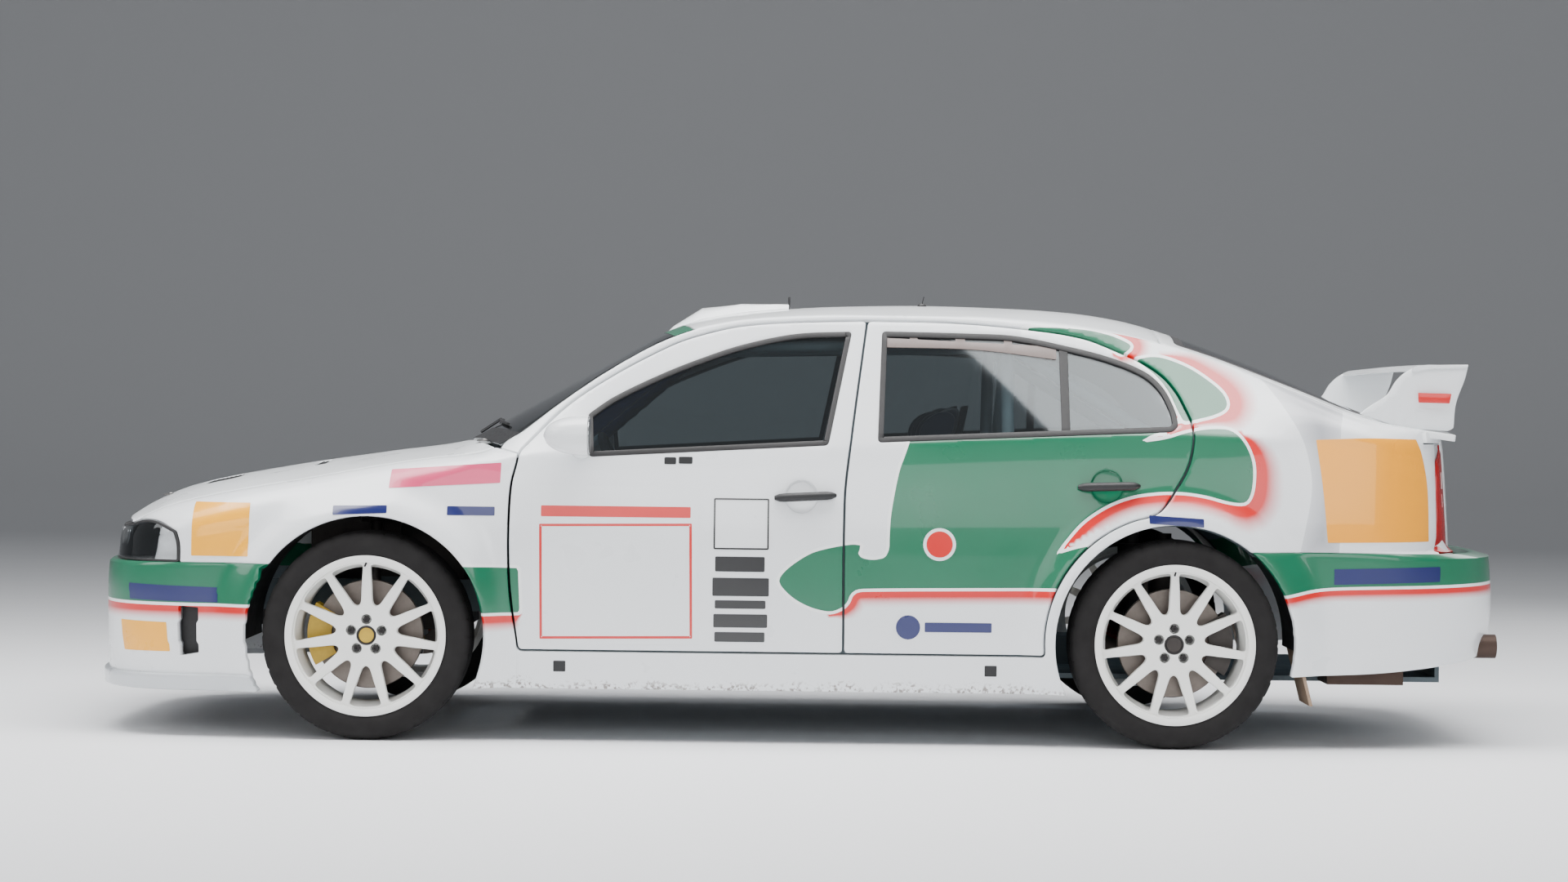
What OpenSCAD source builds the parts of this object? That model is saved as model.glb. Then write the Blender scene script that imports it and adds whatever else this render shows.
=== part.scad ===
// Four-door liftback rally car: hollow cabin, opening doors, bonnet and tailgate,
// steered front wheels and a tailgate wing. Millimetres, front towards -X, up +Z,
// origin on the ground at the middle of the length.

/* [Overall] */
// Distance between the axles
wheelbase = 2515; // [2150:5:3020]
// Front axle to the front of the bumper
front_overhang = 910; // [820:5:1100]
// Rear axle to the back of the bumper
rear_overhang = 1086; // [950:5:1300]
// Width over the flared arches
body_width = 1770; // [1600:5:2130]
// Height of the roof above the ground
roof_height = 1394; // [1250:2:1680]

/* [Wheels] */
// Tyre outer diameter
tyre_diameter = 650; // [600:2:690]
// Tyre width
tyre_width = 220; // [180:2:240]
// Diameter over the rim flanges
rim_diameter = 500; // [420:2:520]
// Distance between the tyre centre planes of one axle
track = 1522; // [1480:2:1540]
// Number of rim spokes
spoke_count = 11; // [5:1:14]
// Wheel bolt circle diameter
bolt_circle = 100; // [90:1:120]
// Space between tyre and arch edge
arch_gap = 48; // [40:1:60]
// Brake disc diameter
disc_diameter = 340; // [280:2:350]

/* [Panels] */
// Gap round the doors, bonnet and tailgate
panel_gap = 10; // [9:0.5:13]
// Thickness of a whole door at its box
door_thickness = 70; // [55:1:85]
// Thickness of a door's window frame and outer rim
door_rim = 18; // [14:1:20]
// Thickness of the pillars, sills and rear quarters
frame_thickness = 60; // [45:1:75]
// Thickness of wings, bonnet, tailgate and bumpers
panel_thickness = 22; // [16:1:30]
// Glass thickness
glass_thickness = 6; // [4:0.5:8]

/* [Cabin] */
// Height of the floor plate's underside
floor_height = 192; // [185:1:215]
// Floor plate thickness
floor_plate = 16; // [10:1:24]
// Seat distance from the middle of the car
seat_offset = 350; // [320:5:380]
// Roll cage tube diameter
cage_tube = 42; // [36:1:50]
// Steering wheel diameter
steering_wheel_diameter = 350; // [320:5:380]

/* [Steering] */
// Height of the lower ball joint
ball_height = 195; // [190:1:220]
// Lean of the steering axis over the height from ball joint to top mount
king_lean = 115; // [100:5:130]

/* [Exhaust] */
// Outer diameter of the tailpipe
tailpipe_diameter = 76; // [60:1:90]
// Length of its straight end
tailpipe_length = 90; // [70:1:120]

/* [Hidden] */

$fn = 48;
seat_fit = 0.3;           // gap between fixed pieces that meet
total_length = front_overhang + wheelbase + rear_overhang;
front_axle = front_overhang - total_length / 2;
rear_axle = front_axle + wheelbase;
half_width = body_width / 2;
half_track = track / 2;
tyre_radius = tyre_diameter / 2;
arch_radius = tyre_radius + arch_gap;
steel = "silver";
white = "whitesmoke";
dark = "#26282a";

// The stations below are drawn for the car at its first sizes, and these three
// functions carry them to the sizes set above.
design_front_axle = -1345.5;
design_rear_axle = 1169.5;
design_shoulder = 700;    // below this height the body doesn't stretch with the roof
function fx(x) =
    x < design_front_axle ? front_axle + (x - design_front_axle) * front_overhang / 910
    : x > design_rear_axle ? rear_axle + (x - design_rear_axle) * rear_overhang / 1086
    : front_axle + (x - design_front_axle) * wheelbase / 2515;
function fy(y) = y * body_width / 1770;
function fz(z) = z < design_shoulder ? z
    : design_shoulder + (z - design_shoulder) * (roof_height - design_shoulder) / 694;
function side_points(list) = [for (p = list) [fx(p[0]), fz(p[1])]];
function plan_points(list) = [for (p = list) [fx(p[0]), fy(p[1])]];

// ---------- smooth curves through stations ----------
function slope_between(t, i) = (t[i + 1][1] - t[i][1]) / (t[i + 1][0] - t[i][0]);
function slope_at(t, i) = i == 0 ? slope_between(t, 0)
    : i == len(t) - 1 ? slope_between(t, i - 1)
    : let (a = slope_between(t, i - 1), b = slope_between(t, i)) a * b <= 0 ? 0 : 2 * a * b / (a + b);
function segment(t, x, i = 0) = i >= len(t) - 2 || x < t[i + 1][0] ? i : segment(t, x, i + 1);
function at(t, x) = let (
        i = segment(t, x),
        h = t[i + 1][0] - t[i][0],
        u = min(1, max(0, (x - t[i][0]) / h)),
        a = t[i][1],
        b = t[i + 1][1])
    a + (b - a) * u * u * (3 - 2 * u) + h * u * (1 - u) * ((1 - u) * slope_at(t, i) - u * slope_at(t, i + 1));
function ease(u) = let (v = min(1, max(0, u))) v * v * (3 - 2 * v);

// ---------- body lines ----------
// Top of the body on the middle line
TOP = side_points([[-2200, 655], [-2165, 690], [-2110, 728], [-1990, 777], [-1680, 841], [-1360, 891],
    [-1110, 928], [-1080, 940], [-937, 1022], [-625, 1196], [-420, 1308], [-330, 1340], [-150, 1368],
    [130, 1388], [393, 1394], [687, 1388], [882, 1377], [1040, 1355], [1180, 1318], [1478, 1212],
    [1794, 1075], [1870, 1045], [1960, 1030], [2075, 1010]]);
// Height of the edge where the side turns into the top
RAIL_Z = side_points([[-2200, 630], [-2100, 672], [-2000, 716], [-1860, 753], [-1575, 806], [-1180, 876],
    [-1010, 897], [-940, 925], [-740, 1070], [-593, 1170], [-415, 1266], [-300, 1304], [-150, 1330],
    [150, 1345], [500, 1344], [800, 1326], [1040, 1290], [1266, 1232], [1562, 1120], [1780, 1035],
    [1900, 1010], [2075, 985]]);
// Distance of that edge from the middle line
RAIL_Y = plan_points([[-2200, 600], [-2000, 664], [-1575, 700], [-1010, 722], [-940, 726], [-740, 700],
    [-593, 678], [-415, 650], [-150, 622], [200, 606], [800, 600], [1266, 606], [1562, 640], [1780, 690],
    [2075, 700]]);
// Half width of the lower body, arches left out
PLAN = plan_points([[-1650, 828], [-1345, 838], [-900, 846], [0, 850], [700, 850], [1170, 846], [1650, 826]]);
// Waist line, and how far the side has come in there
WAIST_Z = side_points([[-2200, 600], [-1900, 640], [-1345, 720], [-1010, 850], [-880, 890], [155, 930],
    [1223, 975], [1600, 960], [1900, 930], [2080, 900]]);
WAIST_IN = plan_points([[-2200, 0], [-1345, 6], [-1010, 28], [-880, 40], [155, 45], [1223, 50], [1700, 35],
    [2080, 12]]);
// 1 where the shoulder is round, 0 where the side windows are flat
ROUND = [[fx(-1010), 1], [fx(-880), 0], [fx(1250), 0], [fx(1700), 1]];
// Reach of nose and tail by height
NOSE = [[140, fx(-2238)], [300, fx(-2244)], [450, fx(-2246)], [544, fx(-2240)], [546, fx(-2214)],
    [620, fx(-2204)], [690, fx(-2165)], [fz(730), fx(-2105)]];
TAIL = [[220, fx(2170)], [300, fx(2235)], [450, fx(2255.5)], [610, fx(2245)], [622, fx(2112)],
    [700, fx(2106)], [fz(960), fx(2085)], [fz(1010), fx(2070)]];
corner_power = 3.6;       // squareness of the nose and tail in plan
nose_start = fx(-1650);
tail_start = fx(1560);
widest_height = 600;
sill_tuck = 18;           // the side comes in this much at the sill's foot
flare_band = 125;         // width of the flare round each arch
bumper_top = 545;
rear_bumper_top = 616;

function corner(u) = pow(max(0, 1 - pow(min(1, max(0, u)), corner_power)), 1 / corner_power);
function half_plan(x, z) =
    x < nose_start ? at(PLAN, nose_start) * corner((nose_start - x) / (nose_start - at(NOSE, z)))
    : x > tail_start ? at(PLAN, tail_start) * corner((x - tail_start) / (at(TAIL, z) - tail_start))
    : at(PLAN, x);
function flare(x, z, axle, size) = size * ease(1 - (norm([x - axle, z - tyre_radius]) - arch_radius) / flare_band);
door_front = fx(-907);
function flares(x, z) =
    flare(x, z, front_axle, half_width - at(PLAN, front_axle)) * ease((door_front - x) / 110)
    + flare(x, z, rear_axle, half_width - at(PLAN, rear_axle));
// Half width of the body side at a length and a height
function side_y(x, z) = let (
        wide = half_plan(x, z),
        waist = at(WAIST_Z, x),
        waist_y = wide - at(WAIST_IN, x),
        rail = at(RAIL_Z, x),
        rail_y = min(at(RAIL_Y, x), wide),
        r = ease(1 - at(ROUND, x)),
        up = min(1, max(0, (z - waist) / (rail - waist))))
    z < widest_height ? wide - sill_tuck * pow((widest_height - z) / 400, 2) + flares(x, z)
    : z < waist ? wide - (wide - waist_y) * pow((z - widest_height) / (waist - widest_height), 2) + flares(x, z)
    : waist_y - (waist_y - rail_y) * (r * up + (1 - r) * (1 - sqrt(1 - up * up))) + flares(x, z) * (1 - up);
// Height of the top surface at a length and a distance from the middle line
function top_z(x, y) = let (c = at(TOP, x), r = at(RAIL_Z, x))
    r + (c - r) * (1 - pow(min(1, abs(y) / at(RAIL_Y, x)), 2.3));

// ---------- closed plates between two point grids ----------
module plate(outer, inner) {
    n = len(outer);
    m = len(outer[0]);
    function id(i, j, k) = k * n * m + i * m + j;
    function two(a, b, c, d) = [[a, c, b], [a, d, c]];
    rim = concat([for (i = [0 : n - 2]) [i, 0]], [for (j = [0 : m - 2]) [n - 1, j]],
        [for (i = [n - 1 : -1 : 1]) [i, m - 1]], [for (j = [m - 1 : -1 : 1]) [0, j]]);
    faces = concat(
        [for (i = [0 : n - 2], j = [0 : m - 2])
            each two(id(i, j, 0), id(i, j + 1, 0), id(i + 1, j + 1, 0), id(i + 1, j, 0))],
        [for (i = [0 : n - 2], j = [0 : m - 2])
            each two(id(i, j, 1), id(i + 1, j, 1), id(i + 1, j + 1, 1), id(i, j + 1, 1))],
        [for (e = [0 : len(rim) - 1]) let (p = rim[e], q = rim[(e + 1) % len(rim)])
            each two(id(p[0], p[1], 0), id(q[0], q[1], 0), id(q[0], q[1], 1), id(p[0], p[1], 1))]);
    polyhedron(concat([for (row = outer) each row], [for (row = inner) each row]), faces);
}
function stations(from, to, steps) = [for (i = [0 : steps]) from + (to - from) * i / steps];

// The plates of side and top meet along a bevel at the edge between them
bevel = 0.55;
function side_bevel(x) = let (r = at(ROUND, x)) [0, r - 1, -bevel * (1 - r) - r];
function top_bevel(x) = side_bevel(x) / -side_bevel(x)[2];
function side_normal(x, z) = let (d = (side_y(x, z + 1) - side_y(x, z - 1)) / 2) [0, 1, -d] / norm([1, d]);
// A curved plate of the body side between two depths under the skin, for the +Y side
module side_plate(from_x, to_x, steps, from_depth, to_depth, foot = 165) {
    rows = [0, 0.15, 0.32, 0.46, 0.6, 0.72, 0.82, 0.9, 0.96, 1];
    function skin(x, k, depth) = let (
            z = foot + (at(RAIL_Z, x) - foot) * rows[k],
            p = [x, side_y(x, z), z])
        k == len(rows) - 1 ? p + depth * side_bevel(x) : p - depth * side_normal(x, z);
    plate([for (x = stations(from_x, to_x, steps)) [for (k = [0 : len(rows) - 1]) skin(x, k, from_depth)]],
        [for (x = stations(from_x, to_x, steps)) [for (k = [0 : len(rows) - 1]) skin(x, k, to_depth)]]);
}
// A curved plate of the top surface, both sides, under the skin; lids stand off the edge by a gap
function lid_inset(x) = panel_gap * (1.5 - at(ROUND, x) / 2);
// Inset of the roof panel, whose straight edges bow past the side frames between stations
roof_inset = 4.3;
module top_plate(from_x, to_x, steps, from_depth, to_depth, lid = false) {
    rows = [-1, -0.85, -0.65, -0.4, 0, 0.4, 0.65, 0.85, 1];
    function skin(x, k, depth) = let (
            y = (at(RAIL_Y, x) - (lid ? lid_inset(x) : roof_inset)) * rows[k],
            p = [x, y, top_z(x, y)],
            edge = top_bevel(x))
        abs(rows[k]) == 1 ? p + depth * [0, edge[1] * sign(y), edge[2]] : p - [0, 0, depth];
    plate([for (x = stations(from_x, to_x, steps)) [for (k = [0 : len(rows) - 1]) skin(x, k, to_depth)]],
        [for (x = stations(from_x, to_x, steps)) [for (k = [0 : len(rows) - 1]) skin(x, k, from_depth)]]);
}
// The plates that other pieces are seated against
module frame_plate(from, to) side_plate(fx(-950), fx(2062), 38, from, to);
module door_plate(from, to) side_plate(fx(-950), fx(1260), 24, from, to);
module roof_plate(from, to) top_plate(fx(-480), fx(1190), 14, from, to);
module bonnet_plate(from, to) top_plate(fx(-2195), fx(-940), 16, from, to, true);
module hatch_plate(from, to) top_plate(fx(1120), fx(2075), 12, from, to, true);
// A ring round the nose (way = -1) or the tail (way = 1), between two heights. Its ends
// run along the sides, by the lead, towards the arch.
module end_ring(way, heights, thickness, grow = 0, lead = 0, steps = 22) {
    start = way < 0 ? nose_start : tail_start;
    width = at(PLAN, start) + grow;
    table = way < 0 ? NOSE : TAIL;
    function tuck(z) = sill_tuck * pow(max(0, widest_height - z) / 400, 2);
    function reach(z) = abs(at(table, z) - start) + grow;
    function bend(c) = sign(c) * pow(abs(c), 2 / corner_power);
    function round_point(a, z, depth) = let (x = start + way * (reach(z) - depth) * bend(cos(a)))
        [x, (width - tuck(z) - depth) * bend(sin(a)) + flares(x, z) * sign(sin(a)), z];
    function lead_point(x, side, z, depth) = [x, side * (side_y(x, z) + grow - depth), z];
    leads = lead > 0 ? [for (k = [3 : -1 : 1]) start - way * lead * k / 3] : [];
    angles = [for (i = [0 : steps]) way * (90 - 180 * i / steps)];
    function rows(depths) = concat(
        [for (x = leads) [for (k = [0 : len(heights) - 1]) lead_point(x, way, heights[k], depths[k])]],
        [for (a = angles) [for (k = [0 : len(heights) - 1]) round_point(a, heights[k], depths[k])]],
        [for (x = reversed(leads)) [for (k = [0 : len(heights) - 1]) lead_point(x, -way, heights[k], depths[k])]]);
    plate(rows([for (z = heights) 0]), rows(thickness));
}
// Keeps the part of its children whose side view lies inside the first child
module side_view(wide = 2000) {
    intersection() {
        translate([0, wide, 0]) rotate([90, 0, 0]) linear_extrude(2 * wide) children(0);
        children([1 : $children - 1]);
    }
}
// Keeps the part of its children whose plan lies inside the first child
module plan_view() {
    intersection() {
        linear_extrude(3000) children(0);
        children([1 : $children - 1]);
    }
}
// Curved panels have no bores, so each comes out as one closed mesh
module one_mesh() resize([0, 0, 0]) children();
module both_sides() {
    children();
    mirror([0, 1, 0]) children();
}
module on_left() mirror([0, 1, 0]) children();

// ---------- side view outlines ----------
FRONT_DOOR_FRONT = [[-880, 905], [-886, 870], [-901, 802], [-907, 680], [-905, 536], [-897, 439], [-874, 284]];
FRONT_DOOR_TOP = [[208, 1330], [0, 1324], [-188, 1309], [-317, 1279], [-415, 1243], [-593, 1147],
    [-740, 1046]];
PILLAR_LINE = [[139, 284], [139, 763], [155, 929]];
REAR_DOOR_TOP = [[208, 1330], [500, 1326], [760, 1304], [900, 1280], [1004, 1240]];
REAR_DOOR_BACK = [[1084, 1202], [1143, 1160], [1182, 1112], [1205, 1066], [1226, 1010], [1227, 952],
    [1207, 872], [1155, 785], [1107, 736]];
door_foot = 284;
door_arc_gap = 36;        // the rear door's edge runs this far outside the arch edge
function reversed(list) = [for (i = [len(list) - 1 : -1 : 0]) list[i]];
module front_door_outline() polygon(concat(side_points(FRONT_DOOR_FRONT), side_points(PILLAR_LINE),
    side_points(FRONT_DOOR_TOP)));
module rear_door_outline() difference() {
    polygon(concat(side_points(reversed(REAR_DOOR_BACK)), side_points(reversed(REAR_DOOR_TOP)),
        side_points(reversed(PILLAR_LINE)), [[rear_axle, door_foot]]));
    translate([rear_axle, tyre_radius]) circle(arch_radius + door_arc_gap, $fn = 64);
}
module front_window_outline() polygon(side_points([[-660, 890], [85, 934], [158, 1292], [-20, 1282],
    [-186, 1246], [-314, 1202], [-440, 1150], [-588, 1076], [-668, 1020]]));
module rear_window_outline() polygon(side_points([[242, 945], [256, 1294], [541, 1290], [677, 1284],
    [824, 1257], [974, 1220], [1086, 1174], [1140, 1124], [1174, 1050], [1180, 1005], [1160, 988]]));
lamp_top = 628;
headlight_line = [[-2400, 546], [-1938, 546], [-1946, lamp_top + 1], [-2400, lamp_top + 1]];
module headlight_outline() polygon(side_points(headlight_line));
module arch_circle(axle, extra = 0) translate([axle, tyre_radius]) circle(arch_radius + extra, $fn = 64);
module under_waist() polygon(side_points([[-1000, 100], [-1000, 860], [155, 905], [1300, 950], [1300, 100]]));

// ---------- lower structure ----------
firewall_x = fx(-948);
rail_half = 440;          // the front and rear chassis rails
rear_panel_x = fx(2060);
floor_top = floor_height + floor_plate;
module floor_outline() {
    // follows the inner face of the sills and clears the rear wheels
    function inner(x) = side_y(x, floor_height) - frame_thickness - 5 * seat_fit;
    edge = concat([[firewall_x, inner(fx(-885))]], [for (x = stations(fx(-885), fx(700), 8)) [x, inner(x)]]);
    back = [[fx(702), rail_half + 60], [rear_panel_x, rail_half + 60]];
    half = concat([[firewall_x, 0]], edge, back, [[rear_panel_x, 0]]);
    polygon(half);
    mirror([0, 1]) polygon(half);
}
tunnel_half = 92;
module floor_pan() color(white) {
    translate([0, 0, floor_height]) linear_extrude(floor_plate) floor_outline();
    // propeller shaft tunnel
    translate([firewall_x, -tunnel_half, floor_height]) cube([fx(1000) - firewall_x, 2 * tunnel_half, 110]);
    // firewall
    translate([firewall_x, -fy(690), floor_height]) cube([14, fy(1380), fz(860) - floor_height]);
    // rear panel behind the boot, up to the bumper's shelf
    translate([rear_panel_x - 14, -rail_half - 60, floor_height])
        cube([14, 2 * rail_half + 120, shelf_bottom - seat_fit - floor_height]);
    // front rails with their cross members
    for (side = [-1, 1]) translate([fx(-2130), side * (rail_half - 30) - 30, 380])
        cube([firewall_x - fx(-2130) + 5, 60, 100]);
    translate([fx(-2165), -530, 390]) cube([45, 1060, 90]);
    translate([front_axle - 60, -rail_half, 250]) cube([120, 2 * rail_half, 60]);
    for (side = [-1, 1]) translate([front_axle - 60, side * (rail_half - 30) - 30, 250]) cube([120, 60, 240]);
    // rear suspension beam
    translate([rear_axle - 50, -rail_half, floor_height - 20]) cube([100, 2 * rail_half, 60]);
    // rear bumper beam
    translate([rear_panel_x - 10, -520, 380]) cube([fx(2200) - rear_panel_x, 1040, 90]);
}

// ---------- body shell ----------
pillar_depth = door_thickness + panel_gap;
light_front = fx(2012);   // the tail lights begin here
frame_rebate = 26;       // the frame's inner part stands this deep behind the door frames
module apertures(grow) {
    offset(delta = panel_gap / 2 + grow) front_door_outline();
    offset(delta = panel_gap / 2 + grow) rear_door_outline();
}
module side_frame() color(white) one_mesh() {
    difference() {
        side_view() {
            difference() {
                polygon(side_points([[-880, 165], [-880, 897], [-940, 912], [-1010, 1500], [2400, 1500],
                    [2400, 165]]));
                // the wheel arch, the rear bumper and the lights are open
                arch_circle(rear_axle);
                translate([fx(1300), 0]) square([1200, rear_bumper_top]);
                translate([light_front - 2 * seat_fit, rear_bumper_top - 5]) square([400, 1000]);
                translate([fx(1962), fz(958)]) square([400, 1000]);
                // doors: their boxes below the waist, their windows above
                intersection() {
                    apertures(2);
                    under_waist();
                }
                offset(delta = -28) front_door_outline();
                offset(delta = -28) rear_door_outline();
            }
            frame_plate(0, frame_thickness);
        }
        side_view() {
            apertures(0);
            side_plate(fx(-960), fx(1290), 24, -20, frame_rebate, 120);
        }
    }
    // middle pillar behind the closed doors: a web between their boxes and an inner flange
    side_view() {
        polygon(side_points([[122, floor_top + 3], [122, 770], [138, 932], [150, 1325], [236, 1325], [173, 932],
            [156, 770], [156, floor_top + 3]]));
        side_plate(fx(100), fx(262), 3, frame_rebate, frame_rebate + 30);
    }
    side_view() {
        polygon(side_points([[119, floor_top + 1], [119, 763], [135, 920], [173, 920], [159, 763],
            [159, floor_top + 1]]));
        side_plate(fx(100), fx(220), 2, frame_rebate + 2, pillar_depth + 40);
    }
    side_view() {
        polygon(side_points([[85, floor_top + 1], [85, 930], [205, 930], [205, floor_top + 1]]));
        side_plate(fx(70), fx(220), 2, pillar_depth, pillar_depth + 45);
    }
    // door buffers on the flange
    for (x = [98, 186]) side_view() {
        translate([fx(x), 700]) square([20, 60], center = true);
        side_plate(fx(70), fx(220), 2, door_thickness + seat_fit, pillar_depth + 2);
    }
}
glass_half = fy(760);
glass_rows = [for (u = [-1 : 0.2 : 1.01]) u * glass_half];
function header_x(y) = fx(-395 + 75 * pow(y / glass_half, 2));
function cowl_x(y) = fx(-1100 + 160 * pow(y / glass_half, 2));
function hatch_x(y) = fx(1150) - 20 * pow(y / glass_half, 2);
module between(from, to) polygon(concat(from, reversed(to)));
module roof_panel() color(white) one_mesh() plan_view() {
    between([for (y = glass_rows) [header_x(y) + seat_fit, y]], [for (y = glass_rows) [hatch_x(y), y]]);
    roof_plate(0, panel_thickness);
}
module windscreen() color("#5c6a70", 0.5) one_mesh() plan_view() {
    between([for (y = glass_rows) [cowl_x(y) + 12, y]], [for (y = glass_rows) [header_x(y) - seat_fit, y]]);
    top_plate(fx(-1110), fx(-300), 10, 0, glass_thickness);
}
vent_x = -430;
module roof_vent() color(white) translate([fx(vent_x), 0, 0]) difference() {
    // an air scoop open to the front, seated on the roof
    translate([0, 170, 0]) rotate([90, 0, 0]) linear_extrude(340)
        polygon([[-10, fz(1372)], [70, fz(1388)], [180, fz(1395)], [300, fz(1392)], [390, fz(1384)],
            [390, fz(1376)], [100, fz(1352)], [40, fz(1335)]]);
    translate([-30, 155, 0]) rotate([90, 0, 0]) linear_extrude(310)
        polygon([[0, fz(1362)], [80, fz(1378)], [180, fz(1386)], [220, fz(1385)], [100, fz(1362)],
            [45, fz(1338)], [0, fz(1330)]]);
    top_seat();
}
// clears the roof vent off the roof's skin
module top_seat() translate([-fx(vent_x), 0, 0]) roof_plate(-seat_fit, 300);
module front_wings() color(white) one_mesh() both_sides() side_view() {
    difference() {
        polygon(side_points([[-2120, bumper_top + seat_fit], [-1500, bumper_top + seat_fit], [-1345, 300],
            [-1000, 165], [-883, 165], [-883, 897], [-943, 912], [-1010, 1500], [-2120, 1500]]));
        arch_circle(front_axle);
        offset(delta = panel_gap / 2) front_door_outline();
        offset(delta = 1) headlight_outline();
    }
    side_plate(fx(-2120), fx(-870), 20, 0, panel_thickness);
}
splitter_lip = 16.5;
shelf_bottom = 594;
module front_bumper() color("#146b4c") one_mesh() difference() {
    union() {
        end_ring(-1, [165, 230, 330, 450, 530, bumper_top], [26, 26, 26, 26, 40, 60], lead = 100);
        // splitter
        end_ring(-1, [145, 160, 180], [90, 110, 60], splitter_lip);
    }
    for (side = [-1, 1]) translate([front_axle, side * 600, tyre_radius]) rotate([90, 0, 0])
        cylinder(r = arch_radius, h = 700, center = true, $fn = 64);
    // middle and outer air intakes
    translate([fx(-2300), -330, 230]) cube([130, 660, 120]);
    for (side = [-1, 1]) translate([fx(-2200), side * 640 - 90, 220]) cube([150, 180, 150]);
}
module rear_bumper() color("#146b4c") one_mesh() difference() {
    union() {
        end_ring(1, [225, 245, 300, 380, 470, 560, rear_bumper_top], [26, 26, 26, 26, 26, 30, 40], lead = 160);
        // shelf up to the tailgate
        intersection() {
            end_ring(1, [shelf_bottom, rear_bumper_top], [150, 150]);
            translate([fx(1900), -1000, 500]) cube([500, 2000, 200]);
        }
        // buffers under the closed tailgate
        for (side = [-1, 1]) translate([fx(2088), side * 300 - 20, rear_bumper_top - 4])
            cube([14, 40, panel_gap + 4 - seat_fit]);
    }
    for (side = [-1, 1]) translate([rear_axle, side * 600, tyre_radius]) rotate([90, 0, 0])
        cylinder(r = arch_radius, h = 700, center = true, $fn = 64);
    // lets the tailpipe out
    translate([fx(2000), tailpipe_y, tailpipe_z]) rotate([0, 90, 0])
        cylinder(d = tailpipe_diameter + 16, h = 400, $fn = 32);
    translate([rear_panel_x, -545, 375]) cube([fx(2201) - rear_panel_x, 1090, 100]);
}
light_inner = 300;
module grille() color(dark) one_mesh() {
    intersection() {
        end_ring(-1, [bumper_top + seat_fit, 600, lamp_top], [30, 30, 30]);
        translate([fx(-2300), -fy(light_inner), 0]) cube([400, 2 * fy(light_inner), 900]);
    }
    // posts under the closed bonnet
    difference() {
        for (side = [-1, 1]) translate([fx(-2188), side * 200 - 20, 590]) cube([60, 40, 120]);
        bonnet_plate(-200, panel_thickness + seat_fit);
    }
}
module headlights() color("#dfe4e6") one_mesh() both_sides() difference() {
    intersection() {
        end_ring(-1, [bumper_top + seat_fit, 600, lamp_top], [70, 75, 80]);
        translate([fx(-2300), fy(light_inner) + seat_fit, 0]) cube([fx(-1940) - fx(-2300), 900, 900]);
    }
    translate([0, 1000, 0]) rotate([90, 0, 0]) linear_extrude(1000) difference() {
        square([6000, 2000], center = true);
        offset(delta = -1) headlight_outline();
    }
}
module tail_lights() color("#b3202a") one_mesh() both_sides() intersection() {
    end_ring(1, [rear_bumper_top + seat_fit, 700, 800, 900, fz(958)], [70, 70, 70, 70, 70]);
    translate([light_front + seat_fit, at(RAIL_Y, fx(2075)) - fy(110) + panel_gap, 0]) cube([400, 400, 1000]);
}

// ---------- doors ----------
module door_solid(window) one_mesh() difference() {
    union() {
        side_view() {
            offset(delta = -panel_gap / 2) children(0);
            door_plate(0, door_rim);
        }
        side_view() {
            intersection() {
                offset(delta = -26) children(0);
                under_waist();
            }
            door_plate(door_rim - 2, door_thickness);
        }
    }
    translate([0, 1200, 0]) rotate([90, 0, 0]) linear_extrude(1200) children(1);
}
module front_door() color(white) door_solid() {
    front_door_outline();
    front_window_outline();
}
module rear_door() color("#146b4c") door_solid() {
    rear_door_outline();
    rear_window_outline();
}
glass_depth = 5;          // the glass lies this far under the door's skin
module door_glass(from_x, to_x) color("#4a555a", 0.45) one_mesh() side_view() {
    offset(delta = -seat_fit) children();
    side_plate(from_x, to_x, 8, glass_depth, glass_depth + glass_thickness);
}
module front_glass() door_glass(fx(-690), fx(190)) front_window_outline();
module rear_glass() door_glass(fx(220), fx(1200)) rear_window_outline();
mirror_x = fx(-745);
mirror_z = fz(955);
module mirror_shell() color(white) {
    root_y = side_y(mirror_x + 60, mirror_z - 60) - 1.2;
    translate([mirror_x, root_y + 95, mirror_z]) hull() {
        translate([0, 45, 0]) scale([0.5, 0.5, 0.55]) sphere(60, $fn = 20);
        translate([75, 0, 0]) rotate([90, 0, 0]) cylinder(r = 62, h = 150, center = true, $fn = 32);
        translate([20, -70, -45]) cube([80, 30, 50]);
    }
    // foot on the door's waist
    hull() {
        translate([mirror_x + 20, root_y + 10, mirror_z - 60]) cube([85, 60, 24]);
        translate([mirror_x + 20, root_y, mirror_z - 72]) cube([85, 10, 40]);
    }
}

// ---------- bonnet and tailgate ----------
function nose_edge(y) = let (w = at(PLAN, nose_start), u = min(1, abs(y) / w))
    nose_start - (nose_start - fx(-2172)) * pow(1 - pow(u, corner_power), 1 / corner_power);
bonnet_back = -4;        // the bonnet ends this far ahead of the windscreen's front edge
module bonnet_plan() polygon(concat(
    [for (y = [-fy(700) : fy(700) / 6 : fy(701)]) [nose_edge(y), y]],
    [[fx(-960), fy(760)]],
    [for (y = reversed(glass_rows)) if (abs(y) < 0.95 * glass_half) [min(fx(-960), cowl_x(y) + bonnet_back), y]],
    [[fx(-960), -fy(760)]]));
module bonnet() color(white) one_mesh() difference() {
    plan_view() {
        bonnet_plan();
        bonnet_plate(0, panel_thickness);
    }
    // two air outlets behind the grille
    for (side = [-1, 1]) translate([fx(-1960), side * 260 - 110, 0]) cube([150, 220, 2000]);
}
hatch_half = fy(690);     // half width of the tailgate's rear face
module hatch_plan() polygon(concat([for (y = glass_rows) [hatch_x(y) + panel_gap, y]],
    [[fx(2300), glass_half], [fx(2300), -glass_half]]));
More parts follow.
